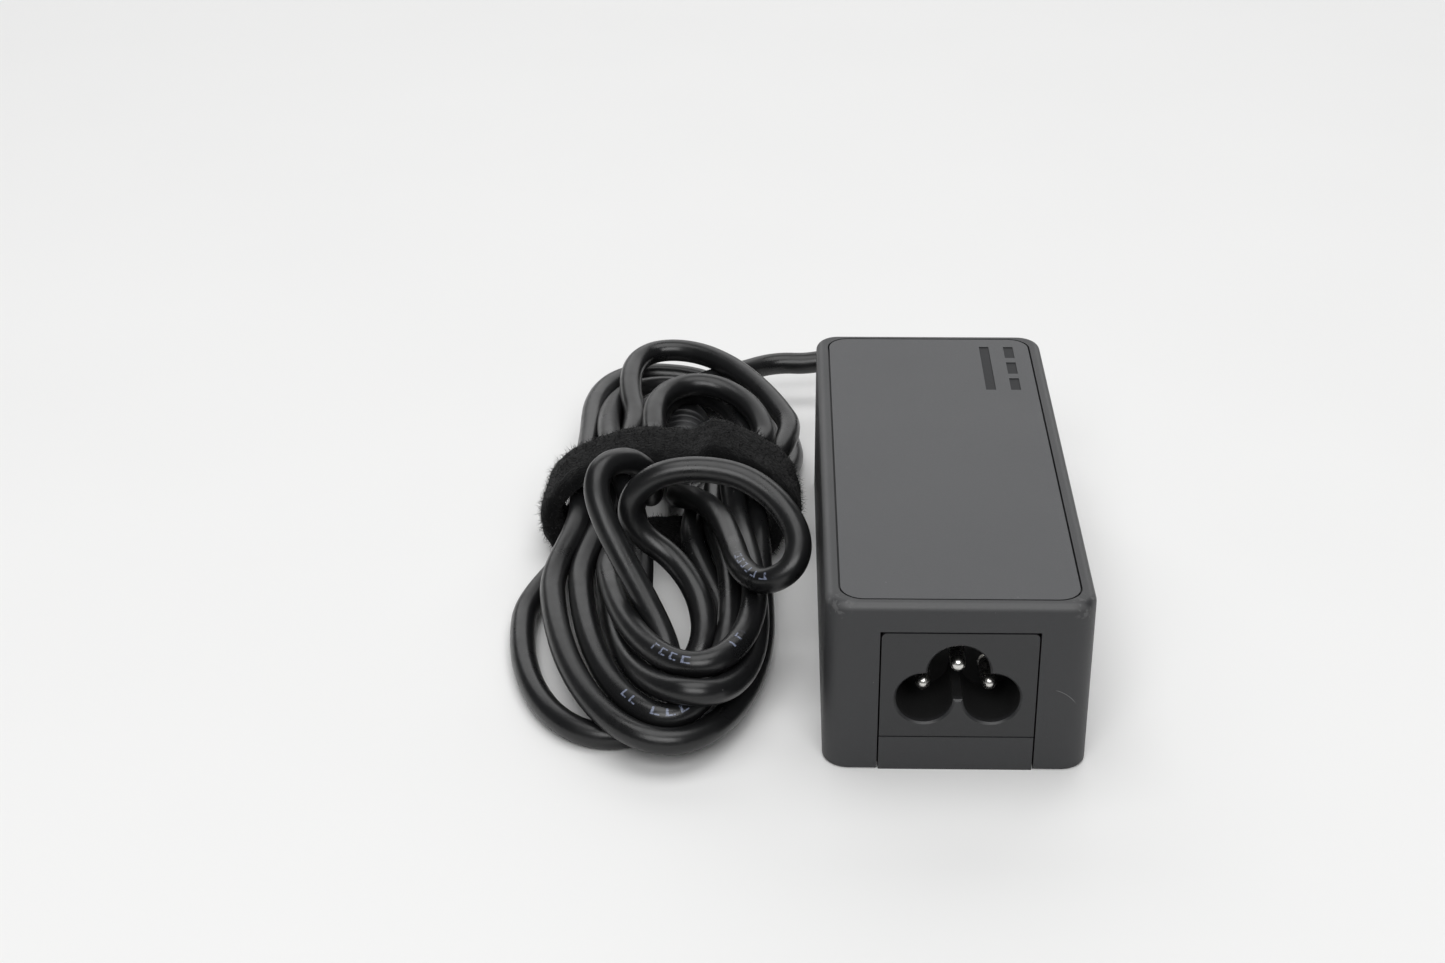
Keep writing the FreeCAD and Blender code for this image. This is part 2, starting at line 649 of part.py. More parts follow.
def controller_chip():
    """A small eight-legged chip: its feet lie on the board and step up to its body."""
    width, depth, height = CHIP_SIZE
    reach = CHIP_FOOT_REACH
    toe = reach + CHIP_FOOT_THICK
    step_lift = CHIP_FOOT_HEIGHT - CHIP_STEP_THICK
    feet = []
    for index in range(CHIP_FEET):
        start = CHIP_Y + reach + index * CHIP_PITCH
        end = start + CHIP_FOOT_WIDTH
        for foot_x, step_x in ((CHIP_X - toe, CHIP_X - reach), (CHIP_X + width + reach, CHIP_X + width)):
            feet.append(on_board(foot_x, foot_x + CHIP_FOOT_THICK, start, end, CHIP_FOOT_HEIGHT))
            feet.append(on_board(step_x, step_x + reach, start, end, CHIP_STEP_THICK, step_lift))
    return fuse_all([on_board(CHIP_X, CHIP_X + width, CHIP_Y, CHIP_Y + depth, height, CHIP_LIFT)] + feet)


def optocoupler():
    return on_board(*OPTOCOUPLER, OPTOCOUPLER_HEIGHT)


def output_rectifier():
    return on_board(*RECTIFIER, RECTIFIER_HEIGHT, RECTIFIER_LIFT)


def output_capacitor(x):
    """An upright can with a pressed top edge."""
    can = rod((x, OUTPUT_CAPACITOR_Y, BOARD_TOP), UP, OUTPUT_CAPACITOR_RADIUS, OUTPUT_CAPACITOR_HEIGHT)
    return can.makeFillet(OUTPUT_CAPACITOR_EDGE, edges_at_height(can, BOARD_TOP + OUTPUT_CAPACITOR_HEIGHT))


def output_choke():
    """A rod core that stands on the board, with its coil halfway up it."""
    x, y = OUTPUT_CHOKE_SPOT
    coil_lift = (OUTPUT_CHOKE_HEIGHT - OUTPUT_COIL_HEIGHT) / 2
    core = rod((x, y, BOARD_TOP), UP, OUTPUT_CHOKE_RADIUS, OUTPUT_CHOKE_HEIGHT)
    coil = rod((x, y, BOARD_TOP + coil_lift), UP, OUTPUT_COIL_RADIUS, OUTPUT_COIL_HEIGHT)
    return core.fuse(coil).removeSplitter()


def heat_spreader():
    """A thin metal sheet bent down both sides of the board, under the roof."""
    half = WIDTH / 2 - WALL - FIT_GAP
    inner_half = half - SPREADER_THICK
    start, end = SPREADER_SPAN
    top = CAVITY_TOP - FIT_GAP
    outer = block(-half, half, start, end, SPREADER_BASE, top)
    inner = block(-inner_half, inner_half, start - OVERRUN, end + OVERRUN, SPREADER_BASE - OVERRUN,
                  top - SPREADER_THICK)
    return outer.cut(inner)


def thermal_pad():
    """The soft pad between the transformer and the spreader."""
    base = BOARD_TOP + CORE_LIFT + CORE_HEIGHT
    top = CAVITY_TOP - FIT_GAP - SPREADER_THICK
    return block(TRANSFORMER_X - PAD_HALF_WIDTH, TRANSFORMER_X + PAD_HALF_WIDTH, *PAD_SPAN, base, top)


def inlet_wire(x, z, landing_x):
    """A sleeved wire from a contact's tail down to the board."""
    start_y = FRONT + INLET_DEPTH + CONTACT_TAIL
    route = [(x, start_y, z), (x, start_y + MAINS_WIRE_STRAIGHT, z),
             (landing_x, MAINS_LANDING_Y, z - MAINS_WIRE_DROP), (landing_x, MAINS_LANDING_Y, BOARD_TOP)]
    return tube(route, MAINS_WIRE_RADIUS)


def output_wire(side):
    """A sleeved wire from the board to the end of the cord inside the strain relief."""
    near, wide = OUTPUT_WIRE_SPREAD
    route = [(side * near, OUTPUT_WIRE_START, RELIEF_HEIGHT),
             (side * near, OUTPUT_WIRE_START - OUTPUT_WIRE_STRAIGHT, RELIEF_HEIGHT),
             (side * wide, OUTPUT_WIRE_LANDING_Y, OUTPUT_WIRE_KNEE),
             (side * wide, OUTPUT_WIRE_LANDING_Y, BOARD_TOP)]
    return tube(route, OUTPUT_WIRE_RADIUS)


# ---- output cord ----
def strain_relief():
    """A tapered sleeve with a flange inside the wall and ring grooves outside it."""
    cone = Part.makeCone(RELIEF_ROOT, RELIEF_TIP, RELIEF_LENGTH, vec(0, BACK, RELIEF_HEIGHT), vec(*ALONG_Y))
    neck = rod((0, BACK - WALL, RELIEF_HEIGHT), ALONG_Y, RELIEF_ROOT, WALL)
    flange = rod((0, OUTPUT_WIRE_START, RELIEF_HEIGHT), ALONG_Y, RELIEF_ROOT + RELIEF_FLANGE,
                 BACK - WALL - OUTPUT_WIRE_START)
    body = fuse_all([cone, neck, flange])
    for index in range(RELIEF_GROOVES):
        middle = vec(0, BACK + RELIEF_FIRST_GROOVE + index * RELIEF_GROOVE_STEP, RELIEF_HEIGHT)
        radius = RELIEF_ROOT + RELIEF_GROOVE_OUTSIDE - index * RELIEF_GROOVE_SINK
        body = body.cut(Part.makeTorus(radius, RELIEF_GROOVE_RADIUS, middle, vec(*ALONG_Y)))
    return body


def lobe_ring(outer, inner, height):
    """One end of the hank: an oval ring of turns, FLOOR_GAP above the surface that it lies on."""
    return oval_plate(*outer, FLOOR_GAP, height).cut(oval_plate(*inner, -OVERRUN, height + OVERRUN))


def cord_hank():
    """The outer shape of the folded turns: an oval lobe on each side of the tie and a round waist in it."""
    front_lobe = lobe_ring(FRONT_LOBE, FRONT_LOBE_HOLE, FRONT_LOBE_TOP)
    back_lobe = lobe_ring(BACK_LOBE, BACK_LOBE_HOLE, BACK_LOBE_TOP)
    waist = arched_prism(TIE_THICK, TIE_SPAN[0] - WAIST_OVERRUN, TIE_SPAN[1] + WAIST_OVERRUN)
    keep_front = front_lobe.common(block(-FAR, FAR, -FAR, TIE_SPAN[0], 0, FAR))
    keep_back = back_lobe.common(block(-FAR, FAR, TIE_SPAN[1], FAR, 0, FAR))
    return fuse_all([keep_front, waist, keep_back])


def cable_tie():
    """The hook-and-loop band closed round the hank's waist."""
    inside = arched_prism(TIE_THICK, TIE_SPAN[0] - OVERRUN, TIE_SPAN[1] + OVERRUN)
    return arched_prism(0, *TIE_SPAN).cut(inside)


def cord_tube(route, clear_of):
    print("bend radii:", ", ".join("%.1f" % radius for radius in bend_radii(route)))
    shape = tube(route, CORD_DIAMETER / 2)
    for other in clear_of:
        shape = shape.cut(other)
    return largest_solid(shape)


def cord_tail(hank):
    """The short end of the cord between the hank and the plug."""
    bar = rod((PLUG_X, TAIL_START, PLUG_Z), ALONG_Y, CORD_DIAMETER / 2, PLUG_START - TAIL_START)
    return largest_solid(bar.cut(hank))


def plug_relief():
    start = vec(PLUG_X, PLUG_START, PLUG_Z)
    tip = CORD_DIAMETER / 2 + PLUG_RELIEF_START
    return Part.makeCone(tip, PLUG_RELIEF_END, PLUG_RELIEF, start, vec(*ALONG_Y))


def plug_body():
    """The moulded grip, with rings to hold it by."""
    start = PLUG_START + PLUG_RELIEF
    grip = rod((PLUG_X, start, PLUG_Z), ALONG_Y, PLUG_RADIUS, PLUG_BODY)
    rims = [edge for edge in grip.Edges if edge.BoundBox.YLength < TINY]
    grip = grip.makeFillet(PLUG_EDGE, rims)
    for index in range(GRIP_RINGS):
        middle = vec(PLUG_X, start + GRIP_FIRST + index * GRIP_STEP, PLUG_Z)
        ring = Part.makeTorus(PLUG_RADIUS + GRIP_GROOVE_OUTSIDE, GRIP_GROOVE_RADIUS, middle, vec(*ALONG_Y))
        grip = grip.cut(ring)
    return grip


def barrel_sleeve(radius, bore, length):
    """A sleeve round the barrel's axis, from the grip's end outwards."""
    start = PLUG_START + PLUG_RELIEF + PLUG_BODY
    solid = rod((PLUG_X, start, PLUG_Z), ALONG_Y, radius, length)
    return solid.cut(rod((PLUG_X, start - OVERRUN, PLUG_Z), ALONG_Y, bore, PLUG_BARREL + 2 * OVERRUN))


def plug_barrel():
    return barrel_sleeve(BARREL_RADIUS, BARREL_RADIUS - BARREL_WALL, PLUG_BARREL)


def plug_insulator():
    outside = BARREL_RADIUS - BARREL_WALL
    return barrel_sleeve(outside, BARREL_BORE + CONTACT_WALL, PLUG_BARREL - INSULATOR_RECESS)


def plug_contact():
    return barrel_sleeve(BARREL_BORE + CONTACT_WALL, BARREL_BORE, PLUG_BARREL - CONTACT_RECESS)


def all_nodes():
    hank = cord_hank()
    tie = cable_tie()
    line_x, power_z = LOWER_LOBE[0], LOWER_LOBE[1]
    narrow_loop = cord_tube(NARROW_LOOP_ROUTE, [hank, tie])
    wide_loop = cord_tube(WIDE_LOOP_ROUTE, [hank, tie, narrow_loop])
    return {
        "upper_shell": upper_shell(),
        "top_panel": top_panel(),
        "bottom_cover": bottom_cover(),
        "rating_label": rating_label(),
        "inlet_block": inlet_block(),
        "line_contact": contact(line_x, power_z, POWER_TIP_DEPTH),
        "neutral_contact": contact(-line_x, power_z, POWER_TIP_DEPTH),
        "earth_contact": contact(UPPER_LOBE[0], UPPER_LOBE[1], EARTH_TIP_DEPTH),
        "line_wire": inlet_wire(line_x, power_z, LINE_LANDING_X),
        "neutral_wire": inlet_wire(-line_x, power_z, NEUTRAL_LANDING_X),
        "earth_wire": inlet_wire(UPPER_LOBE[0], UPPER_LOBE[1], EARTH_LANDING_X),
        "main_board": main_board(),
        "insulation_sheet": insulation_sheet(),
        "fuse_link": fuse_link(),
        "inrush_thermistor": inrush_thermistor(),
        "x_capacitor": x_capacitor(),
        "choke_core": choke_core(),
        "choke_winding_left": choke_winding(-1),
        "choke_winding_right": choke_winding(1),
        "bridge_rectifier": bridge_rectifier(),
        "bulk_capacitor": bulk_capacitor(),
        "primary_heat_sink": heat_sink(PRIMARY_WALL, PRIMARY_WALL_HEIGHT, PRIMARY_FOOT),
        "switching_transistor": switching_transistor(),
        "transformer_core": transformer_core(),
        "transformer_bobbin": transformer_bobbin(),
        "transformer_winding": transformer_winding(),
        "controller_chip": controller_chip(),
        "y_capacitor": y_capacitor(),
        "optocoupler": optocoupler(),
        "secondary_heat_sink": heat_sink(SECONDARY_WALL, SECONDARY_WALL_HEIGHT, SECONDARY_FOOT),
        "output_rectifier": output_rectifier(),
        "output_capacitor_left": output_capacitor(OUTPUT_CAPACITOR_LEFT_X),
        "output_capacitor_right": output_capacitor(OUTPUT_CAPACITOR_RIGHT_X),
        "output_choke": output_choke(),
        "heat_spreader": heat_spreader(),
        "thermal_pad": thermal_pad(),
        "output_wire_positive": output_wire(1),
        "output_wire_negative": output_wire(-1),
        "strain_relief": strain_relief(),
        "cord_lead": cord_tube(LEAD_ROUTE, [hank]),
        "cord_hank": hank,
        "cord_narrow_loop": narrow_loop,
        "cord_wide_loop": wide_loop,
        "cable_tie": tie,
        "cord_tail": cord_tail(hank),
        "plug_relief": plug_relief(),
        "plug_body": plug_body(),
        "plug_barrel": plug_barrel(),
        "plug_insulator": plug_insulator(),
        "plug_contact": plug_contact(),
    }


os.makedirs("parts", exist_ok=True)
for name, shape in all_nodes().items():
    shape.exportStep("parts/%s.step" % name)
    box = shape.BoundBox
    print("%-24s valid %s solids %d  volume %8.1f  x %.1f..%.1f y %.1f..%.1f z %.1f..%.1f" % (
        name, shape.isValid(), len(shape.Solids), shape.Volume, box.XMin, box.XMax, box.YMin, box.YMax,
        box.ZMin, box.ZMax))
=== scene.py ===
"""A laptop power adapter: a moulded brick with its mains inlet, and a hank of thin cord in a plush tie.

Metres, +Z up. The brick stands on z = 0, with its inlet towards -Y and its cord leaving towards +Y.
"""

import json
import math

import bmesh
import bpy
import numpy as np
from mathutils import Matrix, Vector, noise


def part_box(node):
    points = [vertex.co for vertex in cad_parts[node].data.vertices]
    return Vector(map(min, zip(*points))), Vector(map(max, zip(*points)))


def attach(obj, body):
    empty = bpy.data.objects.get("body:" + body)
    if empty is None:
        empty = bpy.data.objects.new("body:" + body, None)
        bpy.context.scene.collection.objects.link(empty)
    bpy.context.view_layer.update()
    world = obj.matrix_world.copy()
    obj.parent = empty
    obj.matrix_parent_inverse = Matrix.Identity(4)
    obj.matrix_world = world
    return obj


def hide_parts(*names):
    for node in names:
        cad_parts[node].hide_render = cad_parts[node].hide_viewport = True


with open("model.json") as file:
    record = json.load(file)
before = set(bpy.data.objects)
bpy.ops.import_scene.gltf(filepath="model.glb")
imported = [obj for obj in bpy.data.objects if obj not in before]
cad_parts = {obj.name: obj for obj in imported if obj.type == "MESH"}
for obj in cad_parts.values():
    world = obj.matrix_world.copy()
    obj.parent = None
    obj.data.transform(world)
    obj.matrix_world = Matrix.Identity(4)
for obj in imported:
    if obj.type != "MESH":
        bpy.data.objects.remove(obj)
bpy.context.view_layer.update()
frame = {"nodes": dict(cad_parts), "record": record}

MM = 0.001

# Camera.
CAMERA_PLACE = (-0.02813, -0.34065, 0.20756)
CAMERA_PITCH = 0.4942
CAMERA_YAW = 0.0231
CAMERA_ROLL = 0.0050
CAMERA_LENS = 58.596
SENSOR_WIDTH = 36.0

# Cord.
CORD = 0.0042
CORD_SIDES = 20
CORD_STEPS = 11
FLOOR_REST = CORD / 2 + 0.00005


# --- Scene helpers ---


def link(name, data):
    """A new object in the scene, at the origin."""
    thing = bpy.data.objects.new(name, data)
    bpy.context.scene.collection.objects.link(thing)
    return thing


def mesh_piece(name, points, faces, smooth=True):
    """A mesh object from points and faces, with its normals pointing out."""
    mesh = bpy.data.meshes.new(name)
    mesh.from_pydata([tuple(p) for p in points], [], faces)
    shell = bmesh.new()
    shell.from_mesh(mesh)
    bmesh.ops.recalc_face_normals(shell, faces=shell.faces)
    shell.to_mesh(mesh)
    shell.free()
    if smooth:
        mesh.shade_smooth()
    else:
        mesh.shade_flat()
    return link(name, mesh)


def add_camera():
    """The studio camera, in front of the inlet and above it."""
    lens = bpy.data.cameras.new("studio_camera")
    lens.lens = CAMERA_LENS
    lens.sensor_width = SENSOR_WIDTH
    lens.clip_start = 0.01
    camera = link("studio_camera", lens)
    yaw = Matrix.Rotation(CAMERA_YAW, 4, "Z")
    pitch = Matrix.Rotation(math.pi / 2 - CAMERA_PITCH, 4, "X")
    roll = Matrix.Rotation(-CAMERA_ROLL, 4, "Z")
    camera.matrix_world = Matrix.Translation(CAMERA_PLACE) @ yaw @ pitch @ roll
    bpy.context.scene.camera = camera


add_camera()


# --- Cord route ---

# From the strain relief to the back of the hank.
LEAD = [
    (0.0, 0.062, 0.0145),
    (0.0, 0.069, 0.0145),
    (-0.0045, 0.076, 0.0132),
    (-0.012, 0.0788, 0.0106),
    (-0.0198, 0.0778, 0.0084),
    (-0.0275, 0.0784, 0.0084),
    (-0.034, 0.074, 0.0084),
]
LEAD_INTO_HANK = [
    (-0.041, 0.0675, 0.0084),
    (-0.049, 0.0625, 0.0076),
    (-0.0565, 0.0555, 0.0068),
    (-0.0615, 0.045, 0.0054),
    (-0.0625, 0.034, 0.0052),
]

# Each turn has two runs through the tie, each with x at the tie's back and front edges and z, and two
# rounded ends, each with its centre x, half width, lean, start y, reach and three heights. The back
# end's squareness is 1 for an oval and smaller for a squarer end.
TURNS = [
    {
        "left": (-0.0626, -0.0628, 0.0048),
        "front": (-0.0508, 0.0184, -0.0012, -0.003, 0.0396, 0.0022, 0.00215, 0.00215),
        "right": (-0.0338, -0.0334, 0.0049),
        "back": (-0.0442, 0.0184, -0.003, 0.044, 0.032, 0.003, 0.0022, 0.0026),
        "squareness": 0.74,
    },
    {
        "left": (-0.0604, -0.0586, 0.007),
        "front": (-0.0444, 0.0126, 0.0036, -0.003, 0.0396, 0.0042, 0.0088, 0.0086),
        "right": (-0.0376, -0.037, 0.0049),
        "back": (-0.0452, 0.0162, -0.002, 0.046, 0.032, 0.005, 0.006, 0.007),
        "squareness": 0.8,
    },
    {
        "left": (-0.0618, -0.0618, 0.0088),
        "front": (-0.0493, 0.0164, 0.0022, -0.003, 0.0434, 0.0062, 0.0054, 0.0056),
        "right": (-0.0322, -0.0324, 0.0088),
        "back": (-0.0392, 0.0146, -0.0094, 0.046, 0.0284, 0.0096, 0.0108, 0.0112),
        "squareness": 0.95,
    },
    {
        "left": (-0.0566, -0.0574, 0.011),
        "front": (-0.0464, 0.0139, 0.0032, -0.003, 0.0416, 0.0092, 0.0084, 0.0088),
        "right": (-0.036, -0.0354, 0.009),
        "back": (-0.0412, 0.0112, -0.0015, 0.036, 0.021, 0.01, 0.0104, 0.011),
        "squareness": 0.95,
    },
    {
        "left": (-0.0532, -0.0542, 0.0076),
        "front": (-0.0434, 0.0124, 0.0046, -0.005, 0.0354, 0.0104, 0.0124, 0.0134),
        "right": (-0.0324, -0.0324, 0.0124),
        "back": (-0.038, 0.0116, -0.002, 0.036, 0.0165, 0.011, 0.014, 0.0135),
        "squareness": 0.95,
    },
]
TIE_RUN_Y = (0.027, 0.018, 0.009)
FRONT_POINTS = 14
BACK_POINTS = 12

TO_NARROW_LOOP = [
    (-0.0496, 0.034, 0.014),
    (-0.0496, 0.026, 0.0144),
    (-0.049, 0.018, 0.0136),
]
NARROW_LOOP = [
    (-0.0486, 0.011, 0.0148),
    (-0.0482, 0.0064, 0.02),
    (-0.049, 0.002, 0.0254),
    (-0.0518, -0.0016, 0.029),
    (-0.0554, -0.005, 0.0294),
    (-0.0564, -0.0086, 0.0272),
    (-0.0548, -0.012, 0.0234),
    (-0.0516, -0.0164, 0.0188),
    (-0.048, -0.0212, 0.0144),
    (-0.0448, -0.0264, 0.0104),
]
# From the narrow loop round the front, through the tie, round the back and back through it.
BETWEEN_LOOPS = [
    (-0.0434, -0.0296, 0.0078),
    (-0.0416, -0.0322, 0.0062),
    (-0.0386, -0.0334, 0.0052),
    (-0.0354, -0.0318, 0.0046),
    (-0.0336, -0.0278, 0.0044),
    (-0.0334, -0.0204, 0.0046),
    (-0.0352, -0.01, 0.0052),
    (-0.0385, 0.0, 0.0066),
    (-0.041, 0.009, 0.0082),
    (-0.0406, 0.018, 0.008),
    (-0.0396, 0.027, 0.0074),
    (-0.033, 0.037, 0.006),
    (-0.029, 0.048, 0.0054),
    (-0.03, 0.06, 0.0048),
    (-0.036, 0.07, 0.0044),
    (-0.045, 0.074, 0.0044),
    (-0.0535, 0.069, 0.0052),
    (-0.0572, 0.056, 0.0074),
    (-0.0578, 0.042, 0.0098),
    (-0.0564, 0.027, 0.012),
    (-0.054, 0.017, 0.0122),
    (-0.0524, 0.009, 0.0106),
    (-0.051, 0.002, 0.0086),
    (-0.0506, -0.014, 0.0046),
    (-0.049, -0.023, 0.0036),
    (-0.0452, -0.0286, 0.0038),
    (-0.0406, -0.0286, 0.0058),
    (-0.0382, -0.025, 0.0092),
]
WIDE_LOOP = [
    (-0.0388, -0.0205, 0.012),
    (-0.0406, -0.0158, 0.014),
    (-0.044, -0.0114, 0.0162),
    (-0.0486, -0.0096, 0.0188),
    (-0.051, -0.0092, 0.0224),
    (-0.05, -0.0092, 0.027),
    (-0.0456, -0.009, 0.0304),
    (-0.039, -0.0089, 0.0312),
    (-0.032, -0.0102, 0.0304),
    (-0.0264, -0.0138, 0.0276),
    (-0.0232, -0.0188, 0.024),
    (-0.0244, -0.0228, 0.0206),
    (-0.0292, -0.0226, 0.0178),
    (-0.0328, -0.0156, 0.0164),
    (-0.0342, -0.006, 0.0154),
]
TAIL = [
    (-0.0354, 0.0045, 0.0136),
    (-0.0386, 0.015, 0.0104),
    (-0.0432, 0.0235, 0.0068),
]
TAIL_END = [
    (-0.0445, 0.0295, 0.0053),
    (-0.0445, 0.036, 0.0053),
]

# Where strands are pushed apart: the tie's inner wall, and the plug that lies in the hank.
TIE_THICK = 0.0026
TIE_SHOULDER = 0.008
TIE_LOW, TIE_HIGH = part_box("cable_tie")
TIE_MARGIN = TIE_THICK + CORD / 2
TIE_INSIDE_X = (TIE_LOW.x + TIE_HIGH.x) / 2
TIE_INSIDE_HALF = (TIE_HIGH.x - TIE_LOW.x) / 2 - TIE_MARGIN
TIE_INSIDE_TOP = TIE_HIGH.z - TIE_MARGIN
TIE_INSIDE_BASE = TIE_LOW.z + TIE_MARGIN
PLUG_PARTS = ("plug_relief", "plug_body", "plug_barrel")
PLUG_CLEAR_LENGTH = 0.03
SETTLE_ROUNDS = 320
SETTLE_SAMPLES = 3
SETTLE_GAP = 1.03
SETTLE_APART = 3.4
SETTLE_STEP = 1.6
STRAND_PUSH = 0.9
TIE_PULL = 0.8
PLUG_PUSH = 0.6
PLUG_LIFT = 0.9
PLUG_LIFT_LEAST = 0.3 * MM
EVEN_PASSES = 2
EVEN_SHARE = 0.35


def turn_end(shape, start, count, squareness):
    """Control points of a turn's rounded end: half an oval, with three heights along it."""
    centre_x, half_width, lean, start_y, reach, *heights = shape
    points = []
    for step in range(count):
        share = step / (count - 1)
        angle = start + math.pi * share
        cosine = math.cos(angle)
        sine = math.sin(angle)
        x = centre_x + half_width * math.copysign(abs(cosine) ** squareness, cosine) + lean * abs(sine)
        y = start_y + reach * math.copysign(abs(sine) ** squareness, sine)
        points.append((x, y, float(np.interp(share, (0.0, 0.5, 1.0), heights))))
    return points


def tie_run(run, towards_front):
    """Control points of one run through the tie."""
    x_back, x_front, z = run
    xs = (x_back, (x_back + x_front) / 2, x_front)
    points = [(x, y, z) for x, y in zip(xs, TIE_RUN_Y)]
    return points if towards_front else points[::-1]


def coil_turn(turn):
    """Control points of one whole turn, from the tie's back edge round the front and the back."""
    points = tie_run(turn["left"], True)
    points += turn_end(turn["front"], math.pi, FRONT_POINTS, 1.0)
    points += tie_run(turn["right"], False)
    points += turn_end(turn["back"], 0.0, BACK_POINTS, turn["squareness"])
    return points


def cord_route():
    """All control points of the cord, and for each whether it stays where it is."""
    stretches = [(LEAD, True), (LEAD_INTO_HANK, False)]
    stretches += [(coil_turn(turn), False) for turn in TURNS]
    stretches += [(TO_NARROW_LOOP, False), (NARROW_LOOP, True), (BETWEEN_LOOPS, False)]
    stretches += [(WIDE_LOOP, True), (TAIL, False), (TAIL_END, True)]
    points = [point for stretch, _ in stretches for point in stretch]
    fixed = [stays for stretch, stays in stretches for _ in stretch]
    return np.array(points), np.array(fixed)


def spline_basis(count):
    """How much each control point counts at each sample of an order 3 spline that meets its ends."""
    spans = count - 2
    rows = np.zeros((spans * SETTLE_SAMPLES + 1, count))
    for row in range(len(rows)):
        span = min(row // SETTLE_SAMPLES, spans - 1)
        t = row / SETTLE_SAMPLES - span
        first = (1 - t) ** 2 * (1.0 if span == 0 else 0.5)
        last = t**2 * (1.0 if span == spans - 1 else 0.5)
        rows[row, span : span + 3] = (first, 1 - first - last, last)
    return rows


def push_apart(samples, run):
    """Moves that take strands off each other."""
    squares = (samples**2).sum(1)
    squared = squares[:, None] + squares[None, :] - 2 * samples @ samples.T
    distance = np.sqrt(np.maximum(squared, 1e-14))
    apart = np.abs(run[:, None] - run[None, :]) > SETTLE_APART * CORD
    overlap = np.clip(CORD * SETTLE_GAP - distance, 0, None) * apart
    contacts = np.maximum(1, (overlap > 0).sum(1))
    weights = overlap / distance / contacts[:, None]
    return STRAND_PUSH * (weights.sum(1)[:, None] * samples - weights @ samples)


def pull_into_tie(samples, push):
    """Adds the moves that keep strands inside the tie."""
    inside = (samples[:, 1] > TIE_LOW.y) & (samples[:, 1] < TIE_HIGH.y)
    rise = TIE_INSIDE_TOP - TIE_SHOULDER
    across = (samples[:, 0] - TIE_INSIDE_X) / TIE_INSIDE_HALF
    up = np.clip(samples[:, 2] - TIE_SHOULDER, 0, None) / rise
    far = np.hypot(across, up)
    out = inside & (far > 1)
    excess = 1 - 1 / far[out]
    push[out, 0] -= TIE_PULL * (samples[out, 0] - TIE_INSIDE_X) * excess
    push[out, 2] -= TIE_PULL * (samples[out, 2] - TIE_SHOULDER) * excess * (up[out] > 0)
    push[inside, 2] += TIE_PULL * np.clip(TIE_INSIDE_BASE - samples[inside, 2], 0, None)


def push_off_plug(samples, run, push):
    """Adds the moves that take strands off the plug that lies among them."""
    before_plug = run < run[-1] - PLUG_CLEAR_LENGTH
    for part in PLUG_PARTS:
        low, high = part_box(part)
        axis_x = (low.x + high.x) / 2
        axis_z = (low.z + high.z) / 2
        clear = (high.x - low.x) / 2 + CORD / 2
        reach = np.hypot(samples[:, 0] - axis_x, samples[:, 2] - axis_z) + 1e-9
        near = before_plug & (samples[:, 1] > low.y) & (samples[:, 1] < high.y) & (reach < clear)
        push[near, 0] += PLUG_PUSH * (samples[near, 0] - axis_x) / reach[near] * (clear - reach[near])
        lift = (np.abs(samples[near, 2] - axis_z) + PLUG_LIFT_LEAST) / reach[near]
        push[near, 2] += PLUG_LIFT * lift * (clear - reach[near])


def settle(home, fixed):
    """The control points, moved until the strands lie beside and on each other."""
    basis = spline_basis(len(home))
    share = basis.T / np.maximum(basis.sum(0)[:, None], 1e-9)
    free = (~fixed).astype(float)[:, None]
    shift = np.zeros_like(home)
    for _ in range(SETTLE_ROUNDS):
        samples = basis @ (home + shift)
        steps = np.linalg.norm(np.diff(samples, axis=0), axis=1)
        run = np.concatenate([[0.0], np.cumsum(steps)])
        push = push_apart(samples, run)
        pull_into_tie(samples, push)
        push[:, 2] += np.clip(FLOOR_REST - samples[:, 2], 0, None)
        push_off_plug(samples, run, push)
        shift += SETTLE_STEP * (share @ push) * free
        for _ in range(EVEN_PASSES):
            even = shift.copy()
            even[1:-1] = 0.25 * shift[:-2] + 0.5 * shift[1:-1] + 0.25 * shift[2:]
            shift = (shift + EVEN_SHARE * (even - shift)) * free
    return home + shift


def spline_points(control):
    """Points read from the NURBS spline that has these control points."""
    curve = bpy.data.curves.new("cord_line", "CURVE")
    curve.dimensions = "3D"
    curve.resolution_u = CORD_STEPS
    spline = curve.splines.new("NURBS")
    spline.points.add(len(control) - 1)
    for point, place in zip(spline.points, control):
        point.co = (*place, 1.0)
    spline.order_u = 3
    spline.use_endpoint_u = True
    line = link("cord_line", curve)
    bpy.context.view_layer.update()
    mesh = bpy.data.meshes.new_from_object(line.evaluated_get(bpy.context.evaluated_depsgraph_get()))
    points = np.array([vertex.co[:] for vertex in mesh.vertices])
    bpy.data.objects.remove(line)
    bpy.data.curves.remove(curve)
    bpy.data.meshes.remove(mesh)
    return points


def tangents(points):
    """Unit directions along a line of points."""
    ahead = np.gradient(points, axis=0)
    return ahead / np.linalg.norm(ahead, axis=1)[:, None]


def side_frames(ahead):
    """Two unit vectors across the line at each point, carried along it without twist."""
    side = np.cross(ahead[0], (0.0, 0.0, 1.0))
    sides = [side / np.linalg.norm(side)]
    for direction in ahead[1:]:
        side = sides[-1] - np.dot(sides[-1], direction) * direction
        sides.append(side / np.linalg.norm(side))
    sides = np.array(sides)
    return sides, np.cross(ahead, sides)


# The way that the cord's print faces.
PRINT_FACING = np.array((0.0, -0.62, 0.78))


